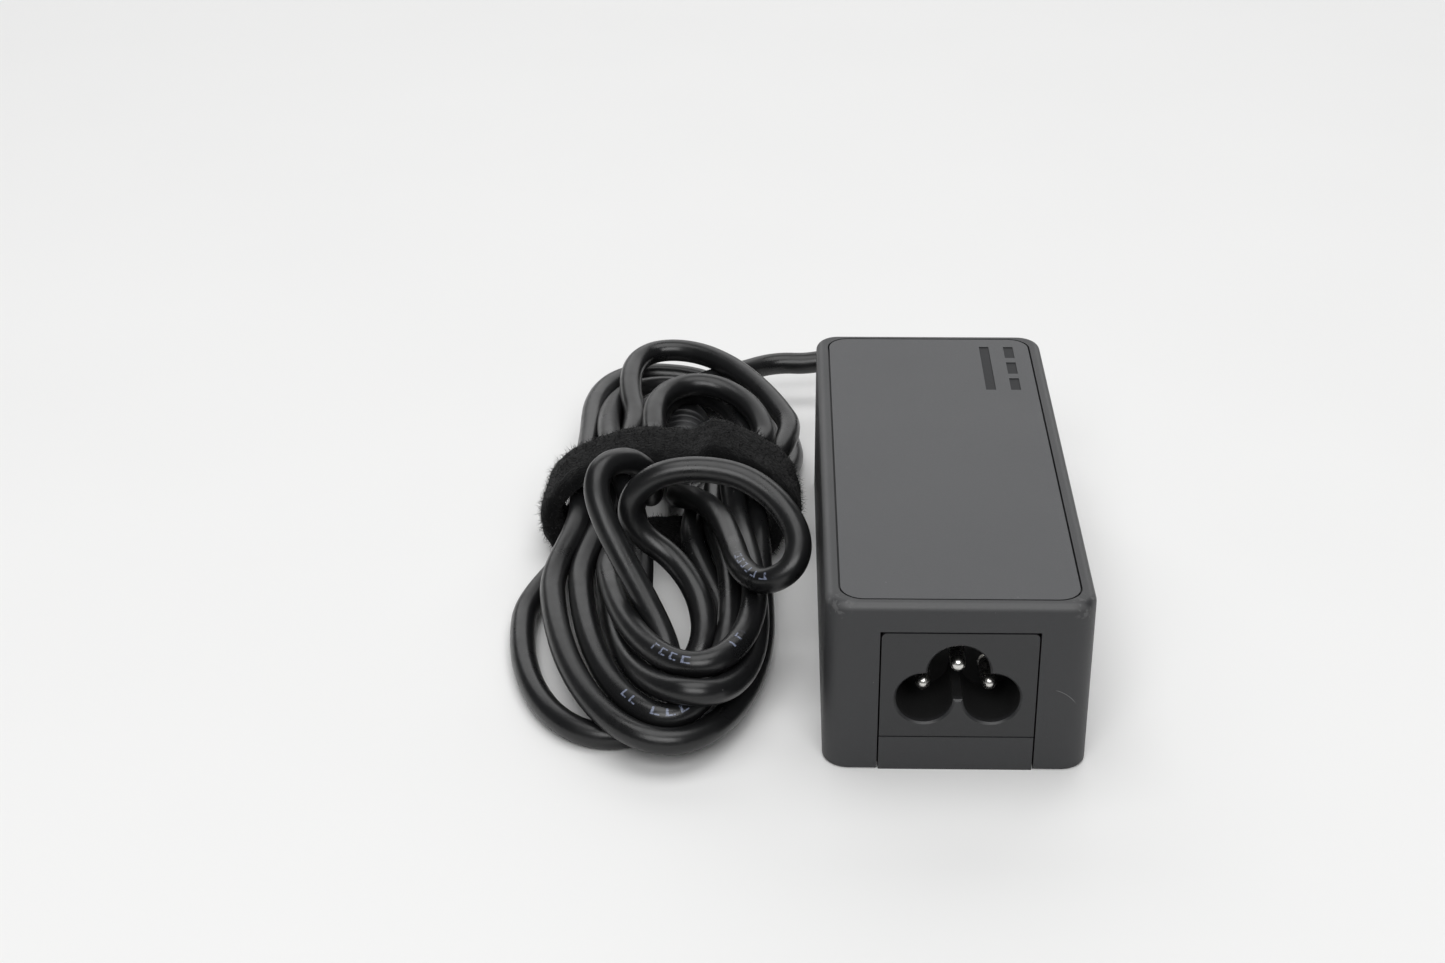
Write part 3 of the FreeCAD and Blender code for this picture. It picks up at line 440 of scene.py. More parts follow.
def cord_tube(points):
    """The cord's jacket: a mesh tube along the points, with a UV map in metres for its print."""
    ahead = tangents(points)
    across, upward = side_frames(ahead)
    angles = np.arange(CORD_SIDES) * 2 * math.pi / CORD_SIDES
    normals = across[:, None] * np.cos(angles)[None, :, None]
    normals = normals + upward[:, None] * np.sin(angles)[None, :, None]
    rings = points[:, None] + normals * CORD / 2
    count = len(points)
    faces = []
    for ring in range(count - 1):
        for side in range(CORD_SIDES):
            after = (side + 1) % CORD_SIDES
            here = ring * CORD_SIDES
            there = here + CORD_SIDES
            faces.append((here + side, there + side, there + after, here + after))
    faces.append(tuple(range(CORD_SIDES))[::-1])
    faces.append(tuple((count - 1) * CORD_SIDES + side for side in range(CORD_SIDES)))
    piece = mesh_piece("output_cord", rings.reshape(-1, 3), faces)

    run = np.concatenate([[0.0], np.cumsum(np.linalg.norm(np.diff(points, axis=0), axis=1))])
    facing = PRINT_FACING - (ahead @ PRINT_FACING)[:, None] * ahead
    facing /= np.linalg.norm(facing, axis=1)[:, None] + 1e-9
    sideways = np.cross(ahead, facing)
    around = np.arctan2((normals * sideways[:, None]).sum(-1), (normals * facing[:, None]).sum(-1))
    mesh = piece.data
    corner_vertex = np.zeros(len(mesh.loops), int)
    mesh.loops.foreach_get("vertex_index", corner_vertex)
    ring_of = corner_vertex // CORD_SIDES
    angle = around.reshape(-1)[corner_vertex]
    face_start = np.zeros(len(mesh.polygons), int)
    face_size = np.zeros(len(mesh.polygons), int)
    mesh.polygons.foreach_get("loop_start", face_start)
    mesh.polygons.foreach_get("loop_total", face_size)
    first = np.repeat(angle[face_start], face_size)
    angle = first + (angle - first + math.pi) % (2 * math.pi) - math.pi
    layer = mesh.uv_layers.new(name="print")
    layer.data.foreach_set("uv", np.column_stack([run[ring_of], angle * CORD / 2]).reshape(-1))
    return piece


home_points, fixed_points = cord_route()
control_points = settle(home_points, fixed_points)
cord_line = spline_points(control_points)
cord = cord_tube(cord_line)


# --- Tie ---

TIE_MIDDLE_Y = (TIE_LOW.y + TIE_HIGH.y) / 2
TIE_WIDTH = TIE_HIGH.y - TIE_LOW.y
TIE_CORNER = 0.006
PLUSH_THICK = 0.0034
PLUSH_OVERHANG = 0.0010
TIE_START = 0.043
TIE_LAP = 0.017
TIE_LAP_STEP = 0.004
TIE_STATIONS = 230
TIE_SECTION = 30
TIE_WOBBLE = 0.0005
WOBBLE_SCALES = (160.0, 520.0)
WOBBLE_SEED = 7
CORNER_POINTS = 12
ARCH_POINTS = 60
LAP_CLOSENESS = 0.8
BAND_SQUARENESS = 0.42
BAND_ROUNDNESS = 0.8
END_TAPER = 0.25
END_NARROWING = 0.06
BAND_FLOOR = 0.3 * MM
PILE_FLOOR = 0.1 * MM


def tie_outline():
    """The middle line of the tie's band in the XZ plane, clockwise from its lower left corner."""
    inset = PLUSH_THICK / 2 - PLUSH_OVERHANG
    left = TIE_LOW.x + inset
    right = TIE_HIGH.x - inset
    base = TIE_LOW.z + inset
    top = TIE_HIGH.z - inset
    centre = (left + right) / 2
    corner = TIE_CORNER - inset
    points = []
    for angle in np.linspace(-math.pi / 2, -math.pi, CORNER_POINTS):
        points.append((left + corner + corner * math.cos(angle), base + corner + corner * math.sin(angle)))
    for angle in np.linspace(math.pi, 0.0, ARCH_POINTS):
        x = centre + (right - centre) * math.cos(angle)
        points.append((x, TIE_SHOULDER + (top - TIE_SHOULDER) * math.sin(angle)))
    for angle in np.linspace(0.0, -math.pi / 2, CORNER_POINTS):
        points.append((right - corner + corner * math.cos(angle), base + corner + corner * math.sin(angle)))
    return np.array(points)


def along(points, distances):
    """Points at the given distances along a closed outline."""
    ring = np.vstack([points, points[:1]])
    run = np.concatenate([[0.0], np.cumsum(np.linalg.norm(np.diff(ring, axis=0), axis=1))])
    places = np.asarray(distances) % run[-1]
    return np.column_stack([np.interp(places, run, ring[:, axis]) for axis in (0, 1)])


def tie_band():
    """The plush band: one strip wound round the hank, with its end lapped over its start."""
    outline = tie_outline()
    ring = np.vstack([outline, outline[:1]])
    length = np.linalg.norm(np.diff(ring, axis=0), axis=1).sum()
    distances = np.linspace(0.0, length + TIE_LAP, TIE_STATIONS)
    middle = along(outline, distances + TIE_START)
    ahead = np.gradient(middle, axis=0)
    ahead /= np.linalg.norm(ahead, axis=1)[:, None]
    outward = np.column_stack([-ahead[:, 1], ahead[:, 0]])
    climb = np.clip((distances - length + TIE_LAP_STEP) / TIE_LAP_STEP, 0, 1)
    lift = PLUSH_THICK * LAP_CLOSENESS * climb * climb * (3 - 2 * climb)
    middle = middle + outward * lift[:, None]

    angles = np.arange(TIE_SECTION) * 2 * math.pi / TIE_SECTION
    widths = np.sign(np.cos(angles)) * np.abs(np.cos(angles)) ** BAND_SQUARENESS * TIE_WIDTH / 2
    thicks = np.sign(np.sin(angles)) * np.abs(np.sin(angles)) ** BAND_ROUNDNESS * PLUSH_THICK / 2
    noise.seed_set(WOBBLE_SEED)
    points = []
    for station in range(TIE_STATIONS):
        end = min(station, TIE_STATIONS - 1 - station)
        taper = min(1.0, END_TAPER + END_TAPER * end)
        for width, thick in zip(widths, thicks):
            x = middle[station, 0] + outward[station, 0] * thick * taper
            z = middle[station, 1] + outward[station, 1] * thick * taper
            y = TIE_MIDDLE_Y + width * (1.0 - END_NARROWING + END_NARROWING * taper)
            place = Vector((x, y, z))
            place += TIE_WOBBLE * noise.noise_vector(place * WOBBLE_SCALES[0])
            place += 0.5 * TIE_WOBBLE * noise.noise_vector(place * WOBBLE_SCALES[1])
            place.z = max(place.z, BAND_FLOOR)
            points.append(place)
    faces = []
    for station in range(TIE_STATIONS - 1):
        for side in range(TIE_SECTION):
            after = (side + 1) % TIE_SECTION
            here = station * TIE_SECTION
            there = here + TIE_SECTION
            faces.append((here + side, there + side, there + after, here + after))
    faces.append(tuple(range(TIE_SECTION)))
    faces.append(tuple((TIE_STATIONS - 1) * TIE_SECTION + side for side in range(TIE_SECTION)))
    return mesh_piece("tie_band", points, faces)


PILE_INPUTS = {
    "Fibres per Square Metre": ("NodeSocketFloat", 2.6e6),
    "Fibre Length": ("NodeSocketFloat", 0.0011),
    "Fibre Radius": ("NodeSocketFloat", 0.00005),
    "Lean": ("NodeSocketFloat", 1.0),
    "Curl": ("NodeSocketFloat", 0.0006),
    "Seed": ("NodeSocketInt", 7),
    "Material": ("NodeSocketMaterial", None),
}
FIBRE_SIDES = 3
FIBRE_STEPS = 3
FIBRE_SCALES = (0.45, 1.25)


def tree_node(tree, kind, settings=None, values=None):
    """A new geometry node with its settings and then its socket values or links."""
    node = tree.nodes.new(kind)
    for name, value in (settings or {}).items():
        setattr(node, name, value)
    for key, value in (values or {}).items():
        if isinstance(value, bpy.types.NodeSocket):
            tree.links.new(value, node.inputs[key])
        else:
            node.inputs[key].default_value = value
    return node


def bent_fibre(tree, given):
    """One fibre that stands on its point and bends over towards its tip."""
    sizes = {
        "Vertices": FIBRE_SIDES,
        "Side Segments": FIBRE_STEPS,
        "Radius Top": 0.0,
        "Radius Bottom": given["Fibre Radius"],
        "Depth": given["Fibre Length"],
    }
    fibre = tree_node(tree, "GeometryNodeMeshCone", {"fill_type": "NONE"}, sizes)
    place = tree_node(tree, "GeometryNodeInputPosition")
    axes = tree_node(tree, "ShaderNodeSeparateXYZ", None, {0: place.outputs[0]})
    heights = {0: axes.outputs["Z"], 1: given["Fibre Length"]}
    share = tree_node(tree, "ShaderNodeMath", {"operation": "DIVIDE"}, heights)
    square = tree_node(tree, "ShaderNodeMath", {"operation": "POWER"}, {0: share.outputs[0], 1: 2.0})
    bends = {0: square.outputs[0], 1: given["Curl"]}
    bend = tree_node(tree, "ShaderNodeMath", {"operation": "MULTIPLY"}, bends)
    offset = tree_node(tree, "ShaderNodeCombineXYZ", None, {"X": bend.outputs[0]})
    moves = {"Geometry": fibre.outputs["Mesh"], "Offset": offset.outputs[0]}
    return tree_node(tree, "GeometryNodeSetPosition", None, moves)


def random_aim(tree, given, rotation):
    """The surface's rotation at each point, leaned and turned at random."""
    lean_low = tree_node(tree, "ShaderNodeMath", {"operation": "MULTIPLY"}, {0: given["Lean"], 1: -1.0})
    lows = {"X": lean_low.outputs[0], "Y": lean_low.outputs[0], "Z": -math.pi}
    highs = {"X": given["Lean"], "Y": given["Lean"], "Z": math.pi}
    low = tree_node(tree, "ShaderNodeCombineXYZ", None, lows)
    high = tree_node(tree, "ShaderNodeCombineXYZ", None, highs)
    limits = {"Min": low.outputs[0], "Max": high.outputs[0], "Seed": given["Seed"]}
    turn = tree_node(tree, "FunctionNodeRandomValue", {"data_type": "FLOAT_VECTOR"}, limits)
    spin = tree_node(tree, "FunctionNodeEulerToRotation", None, {"Euler": turn.outputs["Value"]})
    turns = {"Rotation": rotation, "Rotate By": spin.outputs["Rotation"]}
    return tree_node(tree, "FunctionNodeRotateRotation", {"rotation_space": "LOCAL"}, turns)


def pile_tree():
    """Geometry nodes that grow short bent fibres out of a fabric's surface."""
    tree = bpy.data.node_groups.new("plush_pile", "GeometryNodeTree")
    tree.is_modifier = True
    tree.interface.new_socket("Geometry", in_out="OUTPUT", socket_type="NodeSocketGeometry")
    tree.interface.new_socket("Geometry", in_out="INPUT", socket_type="NodeSocketGeometry")
    inputs = {}
    for name, (kind, value) in PILE_INPUTS.items():
        socket = tree.interface.new_socket(name, in_out="INPUT", socket_type=kind)
        if value is not None:
            socket.default_value = value
        inputs[name] = socket.identifier
    given = tree_node(tree, "NodeGroupInput").outputs

    spread = {
        "Mesh": given["Geometry"],
        "Density": given["Fibres per Square Metre"],
        "Seed": given["Seed"],
    }
    scatter = tree_node(tree, "GeometryNodeDistributePointsOnFaces", None, spread)
    scales = {2: FIBRE_SCALES[0], 3: FIBRE_SCALES[1], "Seed": given["Seed"]}
    size = tree_node(tree, "FunctionNodeRandomValue", None, scales)
    instances = {
        "Points": scatter.outputs["Points"],
        "Instance": bent_fibre(tree, given).outputs["Geometry"],
        "Rotation": random_aim(tree, given, scatter.outputs["Rotation"]).outputs["Rotation"],
        "Scale": size.outputs[1],
    }
    grow = tree_node(tree, "GeometryNodeInstanceOnPoints", None, instances)
    solid = tree_node(tree, "GeometryNodeRealizeInstances", None, {"Geometry": grow.outputs["Instances"]})
    coloured = {"Geometry": solid.outputs["Geometry"], "Material": given["Material"]}
    finish = tree_node(tree, "GeometryNodeSetMaterial", None, coloured)
    tree_node(tree, "NodeGroupOutput", None, {"Geometry": finish.outputs["Geometry"]})
    return tree, inputs


def grown(name, base, tree, values):
    """A new plain mesh piece: what the node tree makes on the base piece."""
    modifier = base.modifiers.new(name, "NODES")
    modifier.node_group = tree
    for identifier, value in values.items():
        modifier[identifier] = value
    bpy.context.view_layer.update()
    depsgraph = bpy.context.evaluated_depsgraph_get()
    mesh = bpy.data.meshes.new_from_object(base.evaluated_get(depsgraph))
    base.modifiers.remove(modifier)
    mesh.name = name
    for vertex in mesh.vertices:
        vertex.co.z = max(vertex.co.z, PILE_FLOOR)
    return link(name, mesh)


# --- Materials ---


class Value:
    """A number that varies over a surface: arithmetic on it adds Math nodes."""

    def __init__(self, finish, socket):
        self.finish = finish
        self.socket = socket

    def maths(self, operation, *operands):
        names = ("Value", "Value_001", "Value_002")
        node = self.finish.node("ShaderNodeMath", {"operation": operation}, dict(zip(names, operands)))
        return Value(self.finish, node.outputs[0])

    def __add__(self, other):
        return self.maths("ADD", self, other)

    __radd__ = __add__

    def __mul__(self, other):
        return self.maths("MULTIPLY", self, other)

    __rmul__ = __mul__

    def __sub__(self, other):
        return self.maths("SUBTRACT", self, other)

    def __rsub__(self, other):
        return self.maths("SUBTRACT", other, self)

    def __truediv__(self, other):
        return self.maths("DIVIDE", self, other)

    def __abs__(self):
        return self.maths("ABSOLUTE", self)

    def root(self):
        return self.maths("SQRT", self)

    def sine(self):
        return self.maths("SINE", self)

    def whole(self):
        return self.maths("FLOOR", self)

    def at_most(self, limit):
        return self.maths("MINIMUM", self, limit)

    def above(self, edge, softness):
        """1 where the value is above the edge, 0 below it, and a soft step between."""
        values = {"Value": self, "From Min": edge - softness, "From Max": edge + softness}
        node = self.finish.node("ShaderNodeMapRange", {"interpolation_type": "SMOOTHSTEP"}, values)
        return Value(self.finish, node.outputs[0])

    def below(self, edge, softness):
        return 1.0 - self.above(edge, softness)

    def between(self, low, high, softness):
        return self.above(low, softness) * self.below(high, softness)


class Finish:
    """A procedural material: a Principled shader, and the nodes that vary it over the surface."""

    def __init__(self, name, colour, roughness, **constants):
        self.colour = (*colour, 1.0)
        self.material = bpy.data.materials.new(name)
        self.material.use_nodes = True
        self.tree = self.material.node_tree
        self.shader = self.tree.nodes["Principled BSDF"]
        self.material.diffuse_color = self.colour
        self.set("Base Color", self.colour)
        self.set("Roughness", roughness)
        for socket, value in constants.items():
            self.set(socket.replace("_", " ").title().replace("Ior", "IOR"), value)

    def plug(self, node, key, value):
        socket = next(s for s in node.inputs if s.identifier == key)
        if isinstance(value, Value):
            value = value.socket
        if isinstance(value, bpy.types.NodeSocket):
            self.tree.links.new(value, socket)
        else:
            socket.default_value = value

    def node(self, kind, settings=None, values=None):
        """A new node with its settings and then its socket values."""
        node = self.tree.nodes.new(kind)
        for name, value in (settings or {}).items():
            setattr(node, name, value)
        for key, value in (values or {}).items():
            self.plug(node, key, value)
        return node

    def set(self, socket, value):
        self.plug(self.shader, socket, value)

    def place(self, scale=(1.0, 1.0, 1.0)):
        """Object coordinates, stretched by a scale."""
        coordinates = self.node("ShaderNodeTexCoord").outputs["Object"]
        return self.node("ShaderNodeMapping", None, {"Vector": coordinates, "Scale": scale}).outputs[0]

    def axes(self):
        """The three object coordinates."""
        split = self.node("ShaderNodeSeparateXYZ", None, {"Vector": self.place()})
        return [Value(self, output) for output in split.outputs]

    def noise(self, scale, detail=2.0, roughness=0.5, vector=None):
        values = {"Vector": vector or self.place(), "Scale": scale, "Detail": detail, "Roughness": roughness}
        return Value(self, self.node("ShaderNodeTexNoise", None, values).outputs[0])

    def cells(self, scale):
        node = self.node("ShaderNodeTexVoronoi", None, {"Vector": self.place(), "Scale": scale})
        return Value(self, node.outputs["Distance"])

    def mix(self, factor, first, second):
        """A colour between two colours."""
        values = {"Factor_Float": factor, "A_Color": first, "B_Color": second}
        node = self.node("ShaderNodeMix", {"data_type": "RGBA"}, values)
        return next(output for output in node.outputs if output.identifier == "Result_Color")

    def shade(self, share):
        """A share of the finish's colour."""
        return tuple(channel * share for channel in self.colour[:3]) + (1.0,)

    def tone(self, factor, dark, light):
        """The finish's colour scaled between a dark and a light share of itself."""
        return self.mix(factor, self.shade(dark), self.shade(light))

    def bump(self, height, depth):
        values = {"Height": height, "Distance": depth, "Strength": 1.0}
        self.set("Normal", self.node("ShaderNodeBump", None, values).outputs[0])


# A pale grey for scuffs and dust, also used for the painted highlight along the case's top edges.
PALE_SCUFF_DUST_AND_HIGHLIGHT = (0.42, 0.42, 0.42, 1.0)
PRINT_INK = (0.30, 0.34, 0.47, 1.0)

# Noise textures: scale, detail and roughness.
MOULD_GRAIN = (5200.0, 3.0, 0.6)
PANEL_GRAIN = (5600.0, 3.0, 0.6)
JACKET_GRAIN = (3000.0, 3.0, 0.6)
MOULD_DEPTH = 0.00003

# The brick's box, which the wear and the painted edge highlight are placed on.
BRICK_LOW, BRICK_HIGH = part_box("upper_shell")
BRICK_HALF = BRICK_HIGH.x
BRICK_FRONT = BRICK_LOW.y
BRICK_TOP = BRICK_HIGH.z
EDGE_WEAR_AND_HIGHLIGHT = 0.9 * MM
EDGE_SOFTNESS = 0.35 * MM
SCUFF_CENTRE = (1.6 * MM, 1.4 * MM, 0.5 * MM)
SCUFF_REACH = 2.3 * MM
SCRATCH_CENTRE = (13.2 * MM, 9.6 * MM)
SCRATCH_RADII = (4.90 * MM, 4.98 * MM)
SCRATCH_FROM = (14.6 * MM, 12.2 * MM)
INLET_SHADE = 0.9 * MM

# The cord's print: where along the cord it stands, and its marks.
PRINT_WINDOWS = ((0.9935, 1.0085), (1.2105, 1.2275), (1.7400, 1.7520))
PRINT_PITCH = 1.9 * MM
PRINT_HALF_HEIGHT = 0.62 * MM
DASH_HEIGHT = 0.5 * MM
DASH_HALF_THICK = 0.11 * MM


def moulded(name, colour, roughness=0.52):
    """Charcoal moulded plastic with the fine texture of a spark-eroded mould."""
    finish = Finish(name, colour, roughness)
    fine = finish.noise(*MOULD_GRAIN)
    broad = finish.noise(60.0, 3.0, 0.55)
    finish.set("Base Color", finish.tone(fine * 0.6 + broad * 0.4, 0.8, 1.22))
    finish.set("Roughness", (fine - 0.5) * 0.25 + (broad - 0.5) * 0.12 + roughness)
    finish.bump(fine, MOULD_DEPTH)
    return finish


def worn_case(name, colour):
    """The case's plastic, with top edges painted paler as rubbed wear and a painted highlight, scuffed
    corners, dust specks and one fine scratch.
    """
    finish = Finish(name, colour, 0.5)
    x, y, z = finish.axes()
    fine = finish.noise(*MOULD_GRAIN)
    broad = finish.noise(70.0, 3.0, 0.55)
    patches = finish.noise(900.0, 4.0, 0.7)
    side = abs(x)

    # The top edges are painted paler: partly rubbed wear, partly a painted highlight along the top edges.
    top = z.above(BRICK_TOP - EDGE_WEAR_AND_HIGHLIGHT, EDGE_SOFTNESS)
    rim = top * side.above(BRICK_HALF - 1.0 * MM, 0.4 * MM)
    brow = top * y.below(BRICK_FRONT + 1.0 * MM, 0.4 * MM)
    rubbed_and_painted_highlight = (rim + brow) * 0.10

    in_x, in_y, in_z = SCUFF_CENTRE
    corner_x = side - (BRICK_HALF - in_x)
    corner_y = y - (BRICK_FRONT + in_y)
    corner_z = z - (BRICK_TOP - in_z)
    reach = (corner_x * corner_x + corner_y * corner_y + corner_z * corner_z).root()
    scuffs = reach.below(SCUFF_REACH, 0.9 * MM) * patches.above(0.56, 0.03)

    arc_x = x - SCRATCH_CENTRE[0]
    arc_z = z - SCRATCH_CENTRE[1]
    radius = (arc_x * arc_x + arc_z * arc_z).root()
    scratch = radius.between(*SCRATCH_RADII, 0.03 * MM) * z.above(SCRATCH_FROM[1], 0.4 * MM)
    scratch = scratch * x.above(SCRATCH_FROM[0], 0.3 * MM) * y.below(BRICK_FRONT + 0.5 * MM, 0.1 * MM)

    dust = finish.cells(700.0).below(0.055, 0.02) * finish.noise(330.0, 2.0).above(0.62, 0.02)
    low_dust = finish.cells(420.0).below(0.07, 0.02) * z.below(1.6 * MM, 0.5 * MM)
    low_dust = low_dust * y.below(BRICK_FRONT + 0.8 * MM, 0.3 * MM)

    colour_now = finish.tone(fine * 0.6 + broad * 0.4, 0.8, 1.22)
    pale = rubbed_and_painted_highlight + scuffs * 0.13 + scratch * 0.3 + dust * 0.35 + low_dust * 0.8
    finish.set("Base Color", finish.mix(pale.at_most(1.0), colour_now, PALE_SCUFF_DUST_AND_HIGHLIGHT))
    finish.set("Roughness", (fine - 0.5) * 0.25 + (broad - 0.5) * 0.12 + scuffs * 0.2 + 0.5)
    finish.bump(fine + patches * scuffs * 0.6, MOULD_DEPTH)
    return finish


def inlet_with_painted_shade(name, colour):
    """The inlet's plastic, with painted shade: darker down inside the cavity."""
    finish = Finish(name, colour, 0.42)
    _, y, _ = finish.axes()
    fine = finish.noise(*MOULD_GRAIN)
    # Painted shade: deeper than INLET_SHADE inside the cavity, the colour falls to about an eighth of the
    # plastic's own.
    inside = y.above(BRICK_FRONT + INLET_SHADE, 0.6 * MM)
    finish.set("Base Color", finish.mix(inside, finish.tone(fine, 0.85, 1.15), finish.shade(0.12)))
    finish.set("Roughness", (fine - 0.5) * 0.2 + inside * 0.35 + 0.42)
    finish.bump(fine, 0.00002)
    return finish


def marked_panel(name, colour):
    """The top panel: finer than the case, with the recessed mark darker and duller."""
    finish = Finish(name, colour, 0.5)
    _, _, z = finish.axes()
    fine = finish.noise(*PANEL_GRAIN)
    broad = finish.noise(45.0, 3.0, 0.55)
    dust = finish.cells(520.0).below(0.05, 0.02) * finish.noise(260.0, 2.0).above(0.64, 0.02)
    recess = z.below(BRICK_TOP - 0.1 * MM, 0.04 * MM)
    shade = finish.tone(fine * 0.55 + broad * 0.45, 0.84, 1.18)
    shade = finish.mix(dust * 0.3, shade, PALE_SCUFF_DUST_AND_HIGHLIGHT)
    finish.set("Base Color", finish.mix(recess, shade, finish.shade(0.5)))
    finish.set("Roughness", (fine - 0.5) * 0.25 + (broad - 0.5) * 0.1 + recess * 0.35 + 0.5)
    finish.bump(fine * (1.0 - recess), 0.000025)
    return finish


def printed_jacket(name, colour):
    """The cord's satin jacket, with a faint line of generic ticks and dashes in three places."""
    finish = Finish(name, colour, 0.38)
    uv = finish.node("ShaderNodeUVMap", {"uv_map": "print"}).outputs[0]
    split = finish.node("ShaderNodeSeparateXYZ", None, {"Vector": uv})
    along_cord = Value(finish, split.outputs[0])
    around_cord = Value(finish, split.outputs[1])
    cell = along_cord / PRINT_PITCH
    number = cell.whole()
    inside = cell - number
    chance = finish.node("ShaderNodeTexWhiteNoise", {"noise_dimensions": "1D"}, {"W": number})
    odd = Value(finish, chance.outputs["Value"])
    stroke = inside.between(0.12, 0.3, 0.03) * abs(around_cord).below(PRINT_HALF_HEIGHT, 0.05 * MM)
    width = inside.between(0.12, 0.72, 0.03)
    dash_top = width * abs(around_cord - DASH_HEIGHT).below(DASH_HALF_THICK, 0.03 * MM)
    dash_low = width * abs(around_cord + DASH_HEIGHT).below(DASH_HALF_THICK, 0.03 * MM)
    marks = stroke * odd.above(0.18, 0.001) + dash_top * odd.above(0.45, 0.001)
    marks = marks + dash_low * odd.between(0.3, 0.8, 0.001)
    window = sum(along_cord.between(start, end, 0.4 * MM) for start, end in PRINT_WINDOWS)
    wear = finish.noise(2600.0, 3.0, 0.6).above(0.44, 0.08)
    ink = marks.at_most(1.0) * window * wear
    fine = finish.noise(*JACKET_GRAIN)
    broad = finish.noise(150.0, 2.0, 0.5)
    haze = finish.noise(420.0, 4.0, 0.65).above(0.6, 0.15)
    dust = finish.cells(620.0).below(0.06, 0.02) * finish.noise(300.0, 2.0).above(0.6, 0.02)
    shade = finish.tone(fine * 0.4 + broad * 0.6, 0.75, 1.35)
    shade = finish.mix(dust * 0.35, shade, PALE_SCUFF_DUST_AND_HIGHLIGHT)
    finish.set("Base Color", finish.mix(ink * 0.6, shade, PRINT_INK))
    finish.set("Roughness", (broad - 0.5) * 0.2 + haze * 0.08 + fine * 0.06 + 0.27)
    finish.bump(fine * 0.3 + broad, 0.00005)
    return finish


def plush(name, colour, light):
    """Brushed loop pile."""
    finish = Finish(name, colour, 0.95, sheen_weight=0.08, sheen_roughness=0.45, specular_ior_level=0.1)
    tuft = finish.noise(1500.0, 4.0, 0.7)
    matted = finish.noise(240.0, 3.0, 0.6)
    finish.set("Base Color", finish.tone(tuft * 0.6 + matted * 0.4, 0.4, light))
    finish.bump(tuft + matted, 0.0004)
    return finish


def metal(name, colour, roughness):
    """Plated metal with fine turning marks and a little tarnish."""
    finish = Finish(name, colour, roughness, metallic=1.0)
    lines = finish.noise(900.0, 2.0, 0.5, finish.place(scale=(1.0, 14.0, 1.0)))
    stain = finish.noise(420.0, 3.0, 0.6)
    finish.set("Base Color", finish.tone(stain, 0.78, 1.08))
    finish.set("Roughness", lines * 0.12 + stain * 0.1 + roughness)
    finish.bump(lines, 0.000004)
    return finish


def plain(name, colour, roughness, grain_scale=2400.0, grain_depth=0.00002, spread=(0.85, 1.15), **constants):
    """A simple moulded, dipped or coated part with fine grain and a slight change of tone."""
    finish = Finish(name, colour, roughness, **constants)
    fine = finish.noise(grain_scale, 3.0, 0.6)
    broad = finish.noise(160.0, 2.0, 0.5)
    finish.set("Base Color", finish.tone(fine * 0.4 + broad * 0.6, *spread))
    finish.set("Roughness", (fine - 0.5) * 0.15 + roughness)
    finish.bump(fine, grain_depth)
    return finish


def wound(name, colour, pitch, roughness, metallic):
    """Wire or tape in close turns round a part that stands upright, with painted light and shade along each
    turn.
    """
    finish = Finish(name, colour, roughness, metallic=metallic)
    _, _, z = finish.axes()
    turns = (z * (2 * math.pi / pitch)).sine()
    stain = finish.noise(380.0, 3.0, 0.6)
    # The colour rises and falls with each turn: painted light and shade across the turns, on top of the bump.
    finish.set("Base Color", finish.tone(stain * 0.7 + turns * 0.15, 0.7, 1.15))
    finish.bump(turns, pitch * 0.12)
    return finish


def laminate(name, colour):
    """Glass-cloth board with its weave showing faintly under the varnish."""
    finish = Finish(name, colour, 0.35, coat_weight=0.4)
    x, y, _ = finish.axes()
    warp = (x * 9000.0).sine()
    weft = (y * 9000.0).sine()
    broad = finish.noise(90.0, 3.0, 0.6)
    finish.set("Base Color", finish.tone(warp * weft * 0.25 + broad * 0.5 + 0.25, 0.78, 1.2))
    finish.bump(warp * weft, 0.00001)
    return finish


def black(level):
    return (level, level * 1.025, level * 1.09)


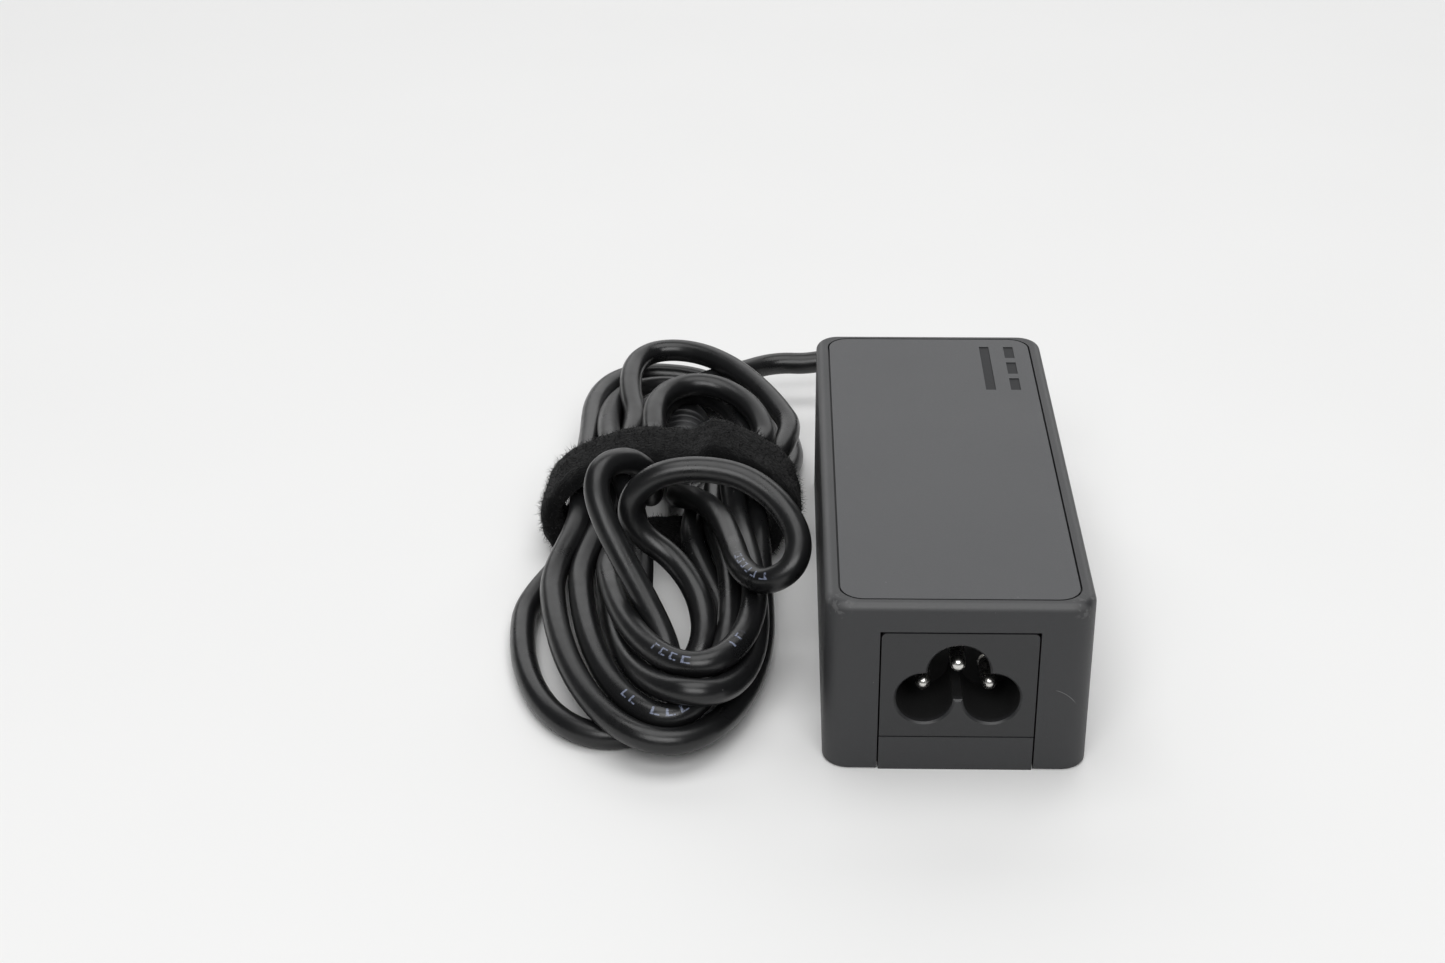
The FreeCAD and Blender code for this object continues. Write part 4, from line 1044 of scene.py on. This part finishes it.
def make_finishes():
    """One finish for each of the record's material slots."""
    return {
        "case_plastic": worn_case("charcoal_case", black(0.029)),
        # The top panel's colour is nearly twice the case's. The extra lightness is painted light, standing in
        # for the brighter light that falls on the top.
        "panel_plastic": marked_panel("charcoal_panel_painted_light", black(0.054)),
        "cover_plastic": moulded("charcoal_cover", black(0.029)),
        "inlet_plastic": inlet_with_painted_shade("inlet_plastic", black(0.021)),
        "contact_nickel": metal("contact_nickel", (0.78, 0.77, 0.74), 0.16),
        "label_film": plain("label_film", (0.55, 0.56, 0.57), 0.4),
        "board_laminate": laminate("board_laminate", (0.10, 0.26, 0.11)),
        "film_clear": plain("insulation_film", (0.72, 0.70, 0.62), 0.25, coat_weight=0.3),
        "part_plastic": plain("black_epoxy", black(0.022), 0.45),
        "thermistor_green": plain("thermistor_green", (0.10, 0.20, 0.09), 0.55),
        "capacitor_yellow": plain("capacitor_yellow", (0.72, 0.52, 0.06), 0.35),
        "capacitor_blue": plain("capacitor_blue", (0.06, 0.16, 0.42), 0.3, coat_weight=0.4),
        "can_sleeve": plain("can_sleeve", (0.03, 0.035, 0.045), 0.28, coat_weight=0.5),
        "ferrite": plain("ferrite", (0.05, 0.05, 0.052), 0.6, 1500.0, 0.00006),
        "copper": wound("enamelled_copper", (0.70, 0.30, 0.13), 0.0006, 0.3, 1.0),
        "winding_tape": wound("winding_tape", (0.78, 0.62, 0.12), 0.006, 0.35, 0.0),
        "bobbin_plastic": plain("bobbin_plastic", black(0.03), 0.5),
        "sheet_aluminium": metal("sheet_aluminium", (0.74, 0.75, 0.76), 0.3),
        "thermal_foam": plain("thermal_foam", (0.42, 0.43, 0.46), 0.9, 1100.0, 0.0001, (0.7, 1.2)),
        "wire_sleeve_red": plain("red_sleeve", (0.45, 0.03, 0.02), 0.4),
        "wire_sleeve_blue": plain("blue_sleeve", (0.03, 0.09, 0.38), 0.4),
        "wire_sleeve_green": plain("green_sleeve", (0.10, 0.36, 0.06), 0.4),
        "wire_sleeve_white": plain("white_sleeve", (0.62, 0.62, 0.60), 0.4),
        "cord_jacket": printed_jacket("cord_jacket", black(0.0070)),
        "relief_rubber": plain("relief_rubber", black(0.02), 0.5, 2800.0, 0.00003, (0.75, 1.3)),
        "tie_fabric": plush("tie_fabric", black(0.004), 1.7),
        "plug_plastic": moulded("plug_plastic", black(0.022), 0.45),
        "plug_nickel": metal("plug_nickel", (0.80, 0.79, 0.77), 0.14),
    }


finishes = make_finishes()
for part in frame["record"]["subparts"]:
    node = frame["nodes"][part["node"]]
    for index in range(max(1, len(node.data.materials))):
        if index < len(node.data.materials):
            node.material_slots[index].material = finishes[part["material_slot"]].material
        else:
            node.data.materials.append(finishes[part["material_slot"]].material)

cord.data.materials.append(finishes["cord_jacket"].material)
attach(cord, "root")

band = tie_band()
band.data.materials.append(finishes["tie_fabric"].material)
pile, pile_inputs = pile_tree()
pile_values = {pile_inputs[name]: value for name, (_, value) in PILE_INPUTS.items()}
pile_values[pile_inputs["Material"]] = plush("tie_pile", black(0.0045), 2.4).material
fibres = grown("tie_pile", band, pile, pile_values)
for piece in (band, fibres):
    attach(piece, "root")
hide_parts("cable_tie")

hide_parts("cord_lead", "cord_hank", "cord_narrow_loop", "cord_wide_loop", "cord_tail")


# --- Studio ---


FLOOR_HALF = 2.6
WORLD_COLOUR = (0.97, 0.98, 1.0, 1.0)
WORLD_STRENGTH = 0.08


def add_floor():
    """A plain pale floor under the object."""
    turns = ((-1, -1), (1, -1), (1, 1), (-1, 1))
    corners = [(side * FLOOR_HALF, end * FLOOR_HALF, 0.0) for side, end in turns]
    floor = mesh_piece("studio_floor", corners, [(0, 1, 2, 3)], smooth=False)
    finish = Finish("floor_paper", (0.84, 0.84, 0.835), 0.7)
    soft = finish.noise(14.0, 2.0, 0.5)
    finish.set("Base Color", finish.tone(soft, 0.985, 1.015))
    floor.data.materials.append(finish.material)


def add_softbox(name, place, aim, width, height, power):
    """A rectangular soft light that faces the aim point."""
    light = bpy.data.lights.new(name, "AREA")
    light.shape = "RECTANGLE"
    light.size = width
    light.size_y = height
    light.energy = power
    lamp = link(name, light)
    direction = Vector(aim) - Vector(place)
    lamp.matrix_world = Matrix.Translation(place) @ direction.to_track_quat("-Z", "Y").to_matrix().to_4x4()


def add_world():
    """Dim pale surroundings."""
    world = bpy.data.worlds.new("studio_world")
    bpy.context.scene.world = world
    world.use_nodes = True
    surroundings = world.node_tree.nodes["Background"]
    surroundings.inputs["Color"].default_value = WORLD_COLOUR
    surroundings.inputs["Strength"].default_value = WORLD_STRENGTH


add_floor()
add_softbox("overhead", (-0.03, 0.05, 1.2), (-0.02, 0.02, 0.0), 1.1, 0.9, 8.0)
add_softbox("back_panel", (-0.05, 1.25, 0.75), (-0.02, 0.0, 0.0), 2.0, 1.1, 9.2)
add_softbox("front_panel", (-0.02, -1.1, 1.1), (-0.02, 0.0, 0.0), 1.4, 0.8, 15.0)
add_world()
bpy.context.scene.view_settings.view_transform = "Standard"
